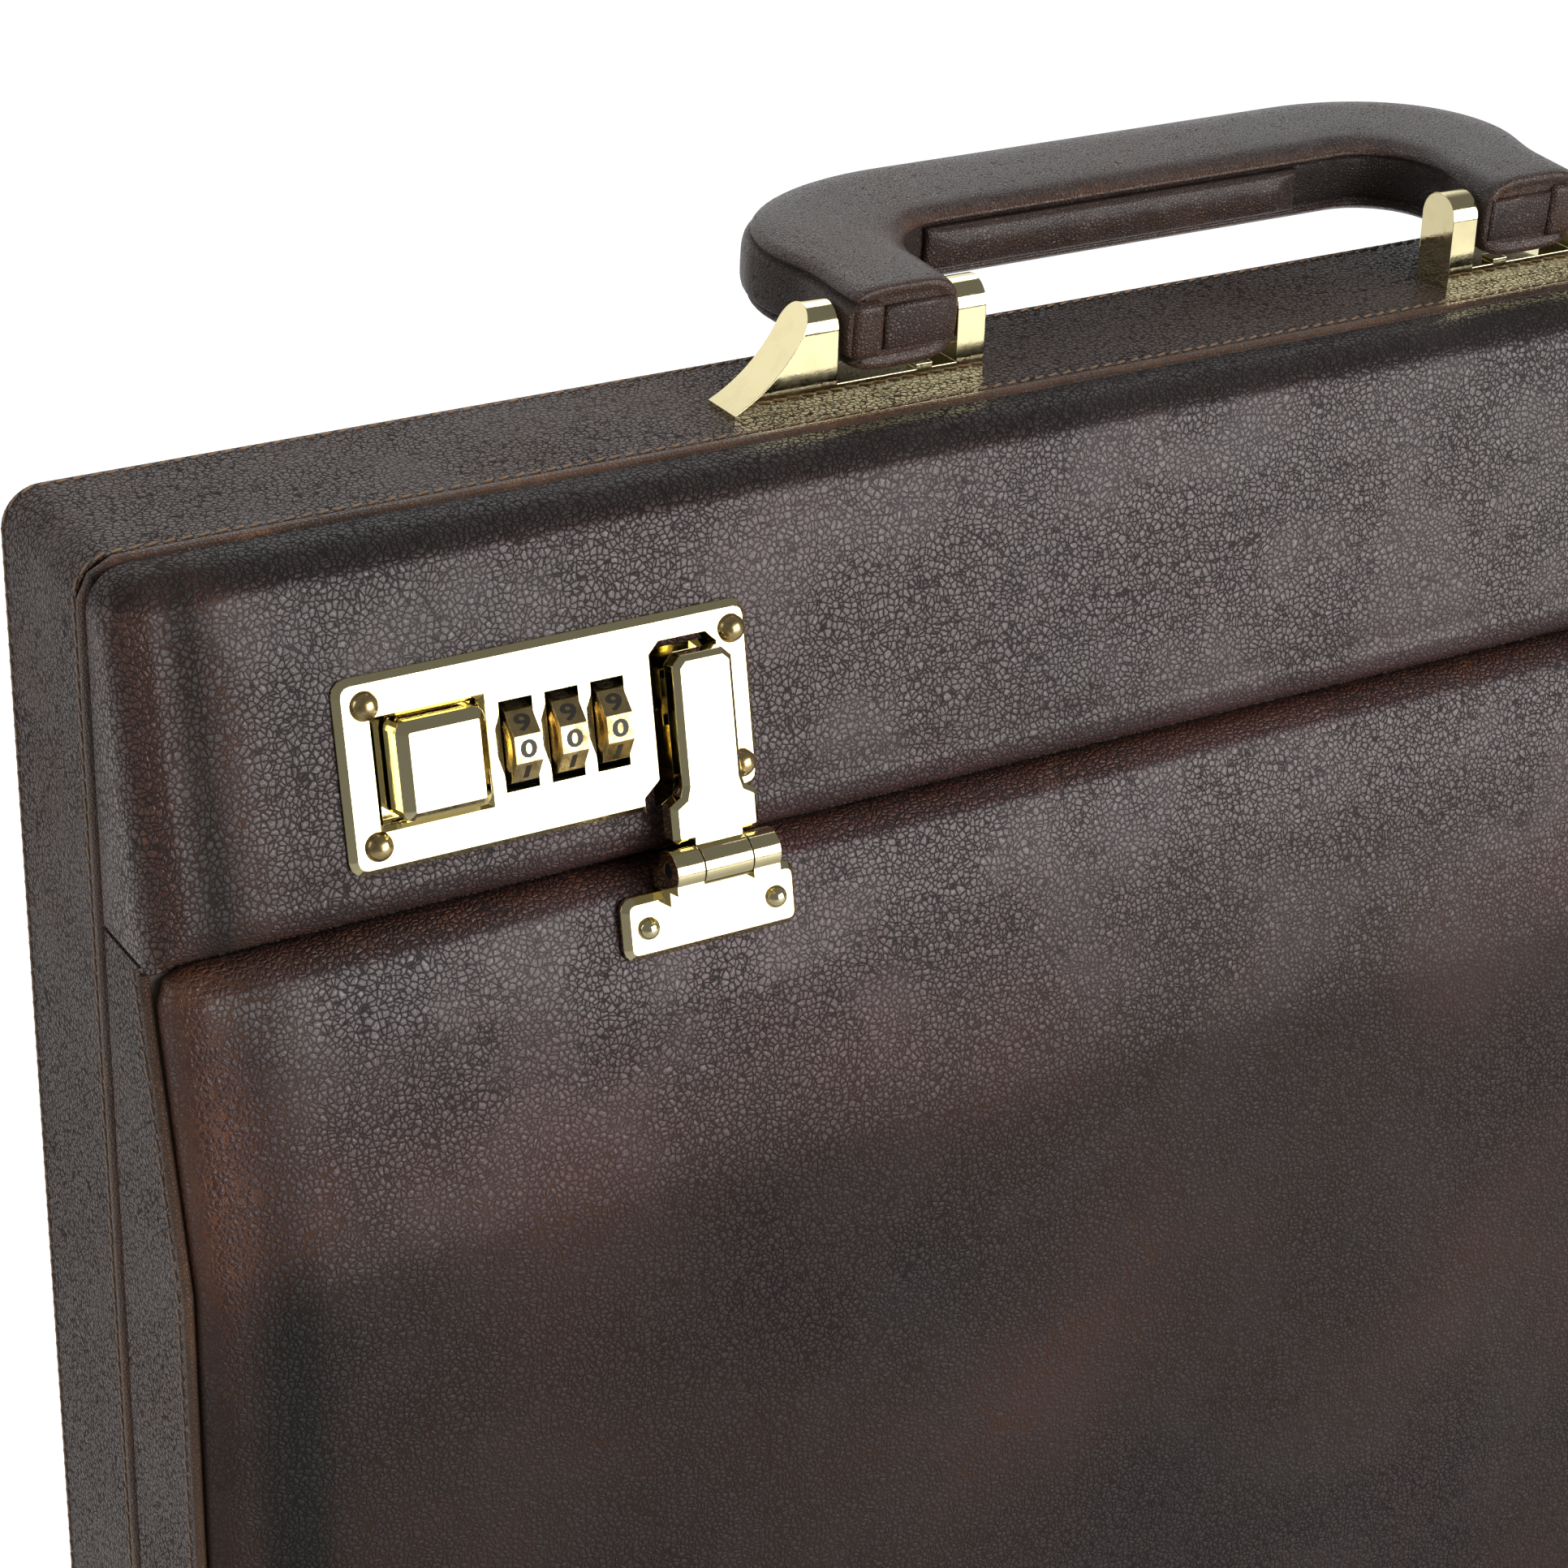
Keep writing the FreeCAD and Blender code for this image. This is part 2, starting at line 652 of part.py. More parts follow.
# ---------------------------------------------------------------- feet
def foot(x, y):
    cone = Part.makeCone(foot_tip_r, foot_r, foot_h, V(x, y, 0))
    return cone.fuse(Part.makeCylinder(foot_screw_r, foot_screw_len, V(x, y, foot_h)))


save(both(foot(-foot_x, foot_back_y)), "feet_back")
save(both(foot(-foot_x, -foot_front_y)), "feet_lid")


# ---------------------------------------------------------------- lid stays: two links between two shells
rail_face = case_w / 2 - rail_inset - rail_t
wall_face = case_w / 2 - inner_inset
link_a_x1 = -(rail_face - stay_gap)
link_a_x0 = link_a_x1 + stay_t
link_b_x1 = link_a_x0 + stay_gap
link_b_x0 = link_b_x1 + stay_t
post_a = (axis_y + stay_spread, axis_z + stay_reach)
post_b = (axis_y - stay_spread, axis_z + stay_reach)
elbow = (axis_y, axis_z + 2 * stay_reach)


def link(start, end, x0, x1):
    """A flat bar with round ends between two pivots."""
    run = math.hypot(end[0] - start[0], end[1] - start[1])
    turn = math.degrees(math.atan2(end[1] - start[1], end[0] - start[0]))
    bar = box(x0, x1, 0, run, -stay_w / 2, stay_w / 2)
    bar = bar.fuse(rod(stay_w / 2, x0, x1, 0, 0)).fuse(rod(stay_w / 2, x0, x1, run, 0))
    bar.rotate(V(0, 0, 0), V(1, 0, 0), turn)
    bar.translate(V(0, start[0], start[1]))
    return bar.removeSplitter()


def stays():
    lower = link(post_a, elbow, link_a_x1, link_a_x0)
    lower = lower.cut(rod(stay_post_r + hinge_fit, -case_w, 0, post_a[0], post_a[1]))
    elbow_rivet = rod(stay_rivet_r, link_a_x1, link_b_x0 + stay_gap, elbow[0], elbow[1])
    elbow_rivet = elbow_rivet.fuse(rod(stay_head_r, link_b_x0 + stay_gap, link_b_x0 + stay_gap + stay_head_t,
                                       elbow[0], elbow[1]))
    save_pair(lower.fuse(elbow_rivet), "stay_link_back")

    upper = link(post_b, elbow, link_b_x1, link_b_x0)
    upper = upper.cut(rod(stay_rivet_r + hinge_fit, -case_w, 0, elbow[0], elbow[1]))
    upper = upper.cut(rod(stay_post_r + stay_slack, -case_w, 0, post_b[0], post_b[1]))
    save_pair(upper, "stay_link_lid")

    back_post = rod(stay_post_r, -rail_face, link_a_x0, post_a[0], post_a[1])
    save(both(back_post), "stay_posts_back")
    head_x = link_b_x0 + stay_gap
    lid_post = rod(stay_post_r, -wall_face, head_x, post_b[0], post_b[1])
    lid_post = lid_post.fuse(rod(stay_head_r, head_x, head_x + stay_head_t, post_b[0], post_b[1]))
    save(both(lid_post), "stay_posts_lid")


stays()


# ---------------------------------------------------------------- document pocket
def document_pocket():
    back_y = back_depth - band_t - back_board_t - lining_t
    front = back_y - pocket_gap - pocket_t
    pocket = box(-pocket_w / 2, pocket_w / 2, front, back_y, pocket_z, pocket_z + pocket_h)
    hollow = box(-pocket_w / 2 + pocket_seam, pocket_w / 2 - pocket_seam, front + pocket_t, back_y + 1,
                 pocket_z + pocket_seam, pocket_z + pocket_h + 1)
    save(pocket.cut(hollow), "document_pocket")


document_pocket()


# ---------------------------------------------------------------- locks, drawn upright with -Y outward
def plate_tray():
    """The sloped tray of the hasp slot, which opens out towards the buttons at the plate's lower edge."""
    flare_x = tray_x0 - tray_flare
    flare_top = plate_z0 + 2 * tray_flare_z
    block = box(tray_x0, tray_x1, -plate_t, tray_deep + tray_t, plate_z0, tray_z1)
    block = block.fuse(box(flare_x, tray_x0, -plate_t, tray_deep + tray_t, plate_z0, flare_top))

    def ring_wire(y, inset, low):
        x0, x1, z1 = tray_x0 + inset, tray_x1 - inset, tray_z1 - inset
        pts = [V(flare_x + inset, y, low), V(x1, y, low), V(x1, y, z1 - tray_corner)]
        pts += [V(x1 - tray_corner, y, z1), V(x0 + tray_corner, y, z1), V(x0, y, z1 - tray_corner)]
        pts += [V(x0, y, flare_top), V(flare_x + inset, y, plate_z0 + tray_flare_z)]
        return Part.makePolygon(pts + pts[:1])
    low = plate_z0 - 1
    deep = Part.makeLoft([ring_wire(-plate_t, 0, low), ring_wire(tray_deep, tray_slope, low)], True, True)
    return block, deep


def bevelled_hole(mid_x, width, height):
    """A hole through the plate whose front edge opens out."""
    def ring_wire(y, more):
        x0, x1 = mid_x - width / 2 - more, mid_x + width / 2 + more
        z0, z1 = plate_z - height / 2 - more, plate_z + height / 2 + more
        pts = [V(x0, y, z0), V(x1, y, z0), V(x1, y, z1), V(x0, y, z1)]
        return Part.makePolygon(pts + pts[:1])
    straight = Part.Face(ring_wire(1, 0)).extrude(V(0, -plate_t - 2, 0))
    flare = Part.makeLoft([ring_wire(-plate_t + recess_bevel, 0), ring_wire(-plate_t - 1, recess_bevel + 1)],
                          True, True)
    return straight.fuse(flare)


def lock_plate():
    plate = bevelled(corner_points(plate_x0, plate_x1, plate_z0, plate_z1, plate_corner, cut_count),
                     0, plate_t, plate_bevel)
    recess_mid = plate_x + recess_x
    plate = plate.cut(bevelled_hole(recess_mid, recess_w, recess_h))
    opening = math.sqrt(dial_r ** 2 - (dial_deep - plate_t) ** 2) + dial_slot_fit
    for x in dial_places():
        plate = plate.cut(box(x - dial_slot_w / 2, x + dial_slot_w / 2, -plate_t - 1, 1,
                              plate_z - opening, plate_z + opening))
    block, mouth = plate_tray()
    plate = plate.fuse(block).cut(mouth)
    hook_mid_z = plate_z + hook_z
    plate = plate.cut(box(hasp_mid - hook_w / 2 - hook_room, hasp_mid + hook_w / 2 + hook_room, 0, through,
                          hook_mid_z - hook_h / 2 - hook_room, hook_mid_z + hook_h / 2 + hook_rise))
    for x, z in rivet_places:
        plate = plate.cut(Part.makeCylinder(rivet_shank_r, plate_t + 2, V(x, -plate_t - 1, z), V(0, 1, 0)))
    return plate.removeSplitter()


def dial_places():
    middle = (dial_count - 1) / 2
    return [plate_x + dial_x + (index - middle) * dial_pitch for index in range(dial_count)]


def plate_rivets():
    rivets = []
    for x, z in rivet_places:
        head = dome(rivet_r, rivet_high, x, z, plate_t)
        shank_length = plate_t + through + rivet_tail
        shank = Part.makeCylinder(rivet_shank_r, shank_length, V(x, -plate_t, z), V(0, 1, 0))
        rivets.append(head.fuse(shank).removeSplitter())
    return Part.makeCompound(rivets)


def lock_housing():
    block = box(housing_x0, housing_x1, 0, housing_deep, housing_z0, housing_z1)
    inside = box(housing_x0 + housing_t, housing_x1 - housing_t, -1, housing_deep - housing_t,
                 housing_z0 + housing_t, housing_z1 - housing_t)
    shell = block.cut(inside)
    places = dial_places()
    walls = [places[0] - dial_hub_w / 2 - bridge_gap - bridge_t, places[-1] + dial_hub_w / 2 + bridge_gap]
    for x in walls:
        bridge = box(x, x + bridge_t, 0.1, housing_deep - housing_t,
                     housing_z0 + housing_t, housing_z1 - housing_t)
        bridge = bridge.cut(box(x - 1, x + bridge_t + 1, slider_y0 - slider_room, housing_deep,
                                plate_z - slider_h / 2 - slider_room, plate_z + slider_h / 2 + slider_room))
        shell = shell.fuse(bridge)
    shell = shell.cut(rod(axle_r, walls[0] - 1, walls[1] + bridge_t + 1, axle_y, plate_z))
    block, mouth = plate_tray()
    shell = shell.cut(block)
    return shell, walls


slider_y0 = housing_deep - housing_t - slider_floor - slider_t
axle_y = dial_deep - plate_t


def dial_axle(walls):
    """The axle with collars that keep the dials apart."""
    axle = rod(axle_r, walls[0], walls[1] + bridge_t, axle_y, plate_z)
    places = dial_places()
    for left, right in zip(places, places[1:]):
        x0 = left + dial_hub_w / 2 + collar_gap
        x1 = right - dial_hub_w / 2 - collar_gap
        axle = axle.fuse(rod(collar_r, x0, x1, axle_y, plate_z))
    return axle.removeSplitter()


def lock_button():
    """The square button and its slider, which runs under the dials towards the hasp's hook."""
    recess_mid = plate_x + recess_x
    x1 = recess_mid + recess_w / 2 - button_side_fit
    x0 = x1 - button_w
    corners = corner_points(x0, x1, plate_z - button_h / 2, plate_z + button_h / 2, button_corner, cut_count)
    cap = bevelled(corners, -button_skirt, button_proud, button_bevel)
    mid = (x0 + x1) / 2
    shank = box(mid - shank_w / 2, mid + shank_w / 2, button_skirt, slider_y0,
                plate_z - shank_h / 2, plate_z + shank_h / 2)
    return cap.fuse(shank).removeSplitter(), mid


def lock_slider(mid):
    end_x = hasp_mid - hook_w / 2 - nose_gap
    bar = box(mid - shank_w / 2, end_x, slider_y0, slider_y0 + slider_t,
              plate_z - slider_h / 2, plate_z + slider_h / 2)
    nose = box(end_x - nose_t, end_x, tray_deep + tray_t + nose_under, slider_y0,
               plate_z - slider_h / 2, plate_z + slider_h / 2)
    return bar.fuse(nose).removeSplitter()


def dial(x):
    """A ten-sided wheel with coned flanks, hub and running bore."""
    corners = []
    for index in range(dial_faces):
        turn = math.radians((index + 0.5) * 360.0 / dial_faces)
        corners.append(V(x - dial_w / 2, axle_y - dial_r * math.cos(turn), plate_z + dial_r * math.sin(turn)))
    wheel = Part.Face(Part.makePolygon(corners + corners[:1])).extrude(V(dial_w, 0, 0))
    flank_r = dial_r * 0.8
    flank = (dial_hub_w - dial_w) / 2
    centre = V(x - dial_w / 2, axle_y, plate_z)
    left = Part.makeCone(flank_r, dial_hub_r, flank, centre, V(-1, 0, 0))
    right = Part.makeCone(flank_r, dial_hub_r, flank, centre + V(dial_w, 0, 0), V(1, 0, 0))
    wheel = wheel.fuse(left).fuse(right)
    return wheel.cut(rod(axle_r + hinge_fit, x - dial_hub_w, x + dial_hub_w, axle_y, plate_z))


def tongue_corners():
    """Outline of the hasp's tongue: narrow above, flaring through short curves to its wide lower end."""
    top = plate_z + tongue_top
    neck = plate_z + tongue_neck
    low = -hasp_axis_v + hasp_r + tongue_clear
    narrow = tongue_w / 2
    wide = tongue_wide / 2
    cut = tongue_cut
    flare = (wide - narrow) * 0.5
    right = [(wide - cut / 2, low), (wide, low + cut / 2), (wide, neck - flare * 0.4),
             (wide - flare * 0.6, neck), (narrow + flare * 0.4, neck + flare * 0.6),
             (narrow, neck + flare * 2), (narrow, top - cut), (narrow - cut, top)]
    left = [(-x, z) for x, z in reversed(right)]
    return [(hasp_mid + x, z) for x, z in right + left]


def hasp_tongue():
    face = bevelled(tongue_corners(), tongue_back, tongue_back + tongue_t, tongue_bevel)
    low = -hasp_axis_v + hasp_r + tongue_clear
    web = box(hasp_mid - centre_w / 2, hasp_mid + centre_w / 2, -(tongue_back + tongue_t),
              -tongue_back - web_back, -hasp_axis_v, low + 1)
    knuckle = rod(hasp_r, hasp_mid - centre_w / 2, hasp_mid + centre_w / 2, -hasp_axis_n, -hasp_axis_v)
    hook_mid_z = plate_z + hook_z
    stem = box(hasp_mid + hook_w / 2 - hook_t, hasp_mid + hook_w / 2, -tongue_back - 0.2, hook_deep,
               hook_mid_z - hook_h / 2, hook_mid_z + hook_h / 2)
    claw = box(hasp_mid - hook_w / 2, hasp_mid + hook_w / 2, hook_deep - hook_t / 2, hook_deep,
               hook_mid_z - hook_h / 2, hook_mid_z + hook_h / 2)
    tongue = face.fuse(web).fuse(knuckle).fuse(stem).fuse(claw)
    bore = rod(hasp_pin_r + hinge_fit, hasp_mid - centre_w, hasp_mid + centre_w, -hasp_axis_n, -hasp_axis_v)
    return tongue.cut(bore).removeSplitter()


def hasp_base():
    corners = corner_points(hasp_mid - base_w / 2, hasp_mid + base_w / 2, -base_v1, -base_v0, base_corner,
                            cut_count)
    plate = bevelled(corners, 0, base_t, base_bevel)
    riser = box(hasp_mid - riser_w / 2, hasp_mid + riser_w / 2, -riser_t, 0, -riser_v1, -riser_v0)
    ears = rod(hasp_r, hasp_mid - ear_w / 2, hasp_mid + ear_w / 2, -hasp_axis_n, -hasp_axis_v)
    neck = box(hasp_mid - ear_w / 2, hasp_mid + ear_w / 2, -hasp_axis_n - hasp_r * neck_share, -above_seam,
               -riser_v0 - neck_under, -hasp_axis_v)
    base = plate.fuse(riser).fuse(ears).fuse(neck)
    half_gap = centre_w / 2 + ear_gap
    room = box(hasp_mid - half_gap, hasp_mid + half_gap, -hasp_axis_n - hasp_r - 1, -above_seam - web_t,
               -hasp_axis_v - hasp_r - tongue_clear, -hasp_axis_v + hasp_r + 1)
    base = base.cut(room)
    base = base.cut(rod(hasp_pin_r, hasp_mid - ear_w, hasp_mid + ear_w, -hasp_axis_n, -hasp_axis_v))
    for x, z in base_rivets:
        base = base.cut(Part.makeCylinder(base_rivet_shank, base_t + 2, V(x, -base_t - 1, z), V(0, 1, 0)))
    return base.removeSplitter()


def hasp_rivets():
    rivets = []
    for x, z in base_rivets:
        head = dome(base_rivet_r, base_rivet_high, x, z, base_t)
        depth = face_low + lid_board_t
        shank = Part.makeCylinder(base_rivet_shank, base_t + depth, V(x, -base_t, z), V(0, 1, 0))
        rivets.append(head.fuse(shank).removeSplitter())
    return Part.makeCompound(rivets)


def locks():
    save_pair(on_panel(lock_plate()), "lock_plate")
    save(both(on_panel(plate_rivets())), "plate_rivets")
    shell, walls = lock_housing()
    save_pair(on_panel(shell), "lock_housing")
    save_pair(on_panel(dial_axle(walls)), "dial_axle")
    button, mid = lock_button()
    save_pair(on_panel(button), "lock_button")
    save_pair(on_panel(lock_slider(mid)), "lock_slider")
    for index, x in enumerate(dial_places()):
        save_pair(on_panel(dial(x)), "dial_%d" % (index + 1))
    save_pair(on_panel(hasp_tongue()), "hasp_tongue")
    save_pair(on_panel(hasp_base()), "hasp_base")
    save(both(on_panel(hasp_rivets())), "hasp_rivets")
    pin = rod(hasp_pin_r, hasp_mid - ear_w / 2, hasp_mid + ear_w / 2, -hasp_axis_n, -hasp_axis_v)
    save(both(on_panel(pin)), "hasp_pins")


locks()


# ---------------------------------------------------------------- handle brackets
def bracket():
    """The left bracket: base bar, straight inner ear and outer ear with its hollow ramp."""
    y1 = bracket_y0 + bracket_w
    ear_top = pin_z + bracket_w / 2
    base = box(-bracket_tip, -bracket_in, bracket_y0, y1, 0, bracket_base)
    inner = box(-bracket_in - ear_in_t, -bracket_in, bracket_y0, y1, 0, ear_top)
    outer_face = ear_out_x + ear_out_t
    start = V(-outer_face, bracket_y0, ear_top)
    tip = V(-bracket_tip, bracket_y0, tip_h)
    ramp = Part.Arc(start, V(-ramp_mid_x, bracket_y0, ramp_mid_z), tip).toShape()
    corners = [tip, V(-bracket_tip, bracket_y0, 0), V(-ear_out_x, bracket_y0, 0),
               V(-ear_out_x, bracket_y0, ear_top), start]
    sides = [Part.makeLine(a, b) for a, b in zip(corners, corners[1:])]
    outer = Part.Face(Part.Wire([ramp] + sides)).extrude(V(0, bracket_w, 0))
    lower = box(-bracket_tip, -ear_out_x, bracket_y0, y1, 0, bracket_base)
    ramp_space = lower.cut(outer)
    base = base.cut(ramp_space)
    tab = box(-tab_x - tab_w / 2, -tab_x + tab_w / 2, bracket_y0, bracket_y0 + tab_w, 0, bracket_base + tab_h)
    casting = base.fuse(inner).fuse(outer).fuse(tab)
    arch = box(-bracket_tip, 0, bracket_y0, y1, 0, pin_z)
    arch = arch.fuse(rod(bracket_w / 2, -bracket_tip, 0, pin_y, pin_z))
    casting = casting.common(arch)
    pin_x = pin_span()
    casting = casting.cut(rod(pin_r, pin_x[0], pin_x[1], pin_y, pin_z))
    for x, y in screw_places:
        casting = casting.cut(Part.makeCylinder(screw_r, screw_bite + 1, V(x, y, -1)))
    placed = casting.removeSplitter()
    placed.translate(V(0, 0, top_z))
    return placed


def pin_span():
    return -(ear_out_x + pin_bite), -(bracket_in + ear_in_t - pin_bite)


def bracket_screws():
    screws = []
    for x, y in screw_places:
        shank = Part.makeCylinder(screw_r, inner_inset + screw_bite, V(x, y, screw_low))
        head = Part.makeCylinder(screw_head_r, screw_head_t, V(x, y, screw_low - screw_head_t))
        screws.append(shank.fuse(head).removeSplitter())
    return both(Part.makeCompound(screws))


save_pair(bracket(), "handle_bracket")
save(bracket_screws(), "bracket_screws")
handle_pin = rod(pin_r, pin_span()[0], pin_span()[1], pin_y, top_z + pin_z)
save(both(handle_pin), "handle_pins")


# ---------------------------------------------------------------- handle, drawn flat, Y away from its pins
def arc(a, b, c):
    return Part.Arc(V(a[0], a[1], 0), V(b[0], b[1], 0), V(c[0], c[1], 0)).toShape()


def bend(a, b, c, d):
    curve = Part.BezierCurve()
    curve.setPoles([V(point[0], point[1], 0) for point in (a, b, c, d)])
    return curve.toShape()


def line(a, b):
    return Part.makeLine(V(a[0], a[1], 0), V(b[0], b[1], 0))


def handle_outline(inset):
    """Flat outline of the handle, drawn inward by inset: a long grip whose legs reach the brackets."""
    out_r = grip_out - inset
    in_r = grip_in + inset
    wide = leg_out - inset
    block = ear_out_x - block_side_fit - inset
    inner = leg_in + inset
    end = -block_end + inset
    straight = grip_straight
    shoulder = leg_out_r + 8.0
    half_inner = inner - inner_corner
    swell = math.sqrt(0.5)
    pull = 0.58
    edges = []
    for side in (-1, 1):
        edges.append(bend((side * straight, out_r), (side * (straight + (wide - straight) * pull), out_r),
                          (side * wide, shoulder + (out_r - shoulder) * pull), (side * wide, shoulder)))
        edges.append(arc((side * wide, shoulder), (side * (wide - (wide - block) * 0.25), leg_out_r),
                         (side * block, block_end + 2.0)))
        edges.append(line((side * block, block_end + 2.0), (side * block, end)))
        edges.append(line((side * block, end), (side * inner, end)))
        edges.append(line((side * inner, end), (side * inner, in_r - inner_corner)))
        inner_mid = (side * (half_inner + inner_corner * swell), in_r - inner_corner * (1 - swell))
        edges.append(arc((side * inner, in_r - inner_corner), inner_mid, (side * half_inner, in_r)))
    edges.append(line((-half_inner, in_r), (half_inner, in_r)))
    edges.append(line((-straight, out_r), (straight, out_r)))
    return Part.Face(Part.Wire(Part.__sortEdges__(edges)))


def lay_back(shape):
    """Turns a piece drawn flat about the pins into the handle's resting lean."""
    placed = shape.copy()
    placed.rotate(V(0, 0, 0), V(1, 0, 0), 90 - handle_lean)
    placed.translate(V(0, pin_y, top_z + pin_z))
    return placed


def handle():
    flat = handle_outline(0).extrude(V(0, 0, handle_t))
    flat.translate(V(0, 0, -handle_t / 2))
    flat = flat.makeFillet(handle_edge_r, edges_where(flat, lambda c: abs(abs(c.z) - handle_t / 2) < 0.01))
    core = handle_outline(core_in).extrude(V(0, 0, core_t))
    core.translate(V(0, 0, -core_t / 2))
    bore = rod(pin_r + hinge_fit, -case_w, case_w, 0, 0)
    strip = box(strip_x0, strip_x1, grip_in - strip_t + strip_bed, grip_in + strip_bed,
                -strip_w / 2, strip_w / 2)
    leather = flat.cut(core).cut(strip).cut(rod(pin_r + 3 * hinge_fit, -case_w, case_w, 0, 0))
    save(lay_back(leather), "handle_leather")
    save(lay_back(core.cut(bore)), "handle_core")
    save(lay_back(strip), "handle_strip")


handle()
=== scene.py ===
import math

import bmesh
import bpy
from mathutils import Matrix, Vector, noise


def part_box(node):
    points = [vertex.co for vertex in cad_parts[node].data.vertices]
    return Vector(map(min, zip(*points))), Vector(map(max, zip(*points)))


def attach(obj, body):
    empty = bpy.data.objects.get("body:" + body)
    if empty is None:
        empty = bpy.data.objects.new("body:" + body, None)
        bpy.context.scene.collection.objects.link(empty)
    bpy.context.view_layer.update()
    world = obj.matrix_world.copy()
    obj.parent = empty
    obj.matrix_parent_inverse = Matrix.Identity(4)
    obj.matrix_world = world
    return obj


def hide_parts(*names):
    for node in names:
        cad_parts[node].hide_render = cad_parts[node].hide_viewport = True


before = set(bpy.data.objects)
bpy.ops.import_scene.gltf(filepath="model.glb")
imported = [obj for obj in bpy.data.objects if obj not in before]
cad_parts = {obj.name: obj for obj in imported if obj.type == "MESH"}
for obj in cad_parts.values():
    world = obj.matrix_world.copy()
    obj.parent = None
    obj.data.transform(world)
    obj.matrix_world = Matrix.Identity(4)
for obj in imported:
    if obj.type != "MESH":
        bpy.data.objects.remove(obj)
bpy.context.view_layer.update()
mm = 0.001


# ---------------------------------------------------------------- materials
# Helpers for shader nodes, and the hide and the edge wear that the leathers share.
def add(tree, kind, inputs=None, **settings):
    """Adds a node; its inputs are linked where a socket is given and set where a value is given."""
    node = tree.nodes.new(kind)
    for name, value in settings.items():
        setattr(node, name, value)
    for key, value in (inputs or {}).items():
        if isinstance(value, bpy.types.NodeSocket):
            tree.links.new(value, node.inputs[key])
        else:
            node.inputs[key].default_value = value
    return node


def math_node(operation):
    """Makes the function that adds one kind of math node and gives its output."""
    def made(tree, *values):
        return add(tree, "ShaderNodeMath", dict(enumerate(values)), operation=operation).outputs[0]
    return made


times, plus, minus = math_node("MULTIPLY"), math_node("ADD"), math_node("SUBTRACT")
larger, smaller = math_node("MAXIMUM"), math_node("MINIMUM")


def blend_colour(tree, share, first, second):
    return add(tree, "ShaderNodeMix", {0: share, 6: first, 7: second}, data_type="RGBA").outputs[2]


def ramp(tree, value, low, high, start=0.0, end=1.0):
    """Carries a value smoothly from one range to another."""
    node = add(tree, "ShaderNodeMapRange", {0: value, 1: low, 2: high, 3: start, 4: end},
               interpolation_type="SMOOTHSTEP")
    return node.outputs[0]


def socket(tree, name, way, kind="Float", default=None):
    made = tree.interface.new_socket(name, in_out=way, socket_type="NodeSocket" + kind)
    if default is not None:
        made.default_value = default
    return made


def noise_node(tree, place, scale, detail, **more):
    """A noise texture; further inputs are given by name."""
    inputs = {"Vector": place, "Scale": scale, "Detail": detail, **more}
    return add(tree, "ShaderNodeTexNoise", inputs).outputs


def new_material(name):
    """A new material with its node tree, its shader and the place of a point on the piece."""
    material = bpy.data.materials.new(name)
    material.use_nodes = True
    tree = material.node_tree
    return material, tree, tree.nodes["Principled BSDF"], add(tree, "ShaderNodeTexCoord").outputs["Object"]


def raise_surface(tree, shader, height, distance, **more):
    raised = add(tree, "ShaderNodeBump", {"Height": height, "Distance": distance, **more})
    tree.links.new(raised.outputs[0], shader.inputs["Normal"])


def speckled(name, scale, detail, dark, light, rough, bump=0.0):
    """A dull material whose colour and surface follow one fine noise."""
    material, tree, shader, place = new_material(name)
    speck = noise_node(tree, place, scale, detail)[0]
    tree.links.new(blend_colour(tree, speck, dark, light), shader.inputs["Base Color"])
    shader.inputs["Roughness"].default_value = rough
    if bump:
        raise_surface(tree, shader, speck, bump)
    return material


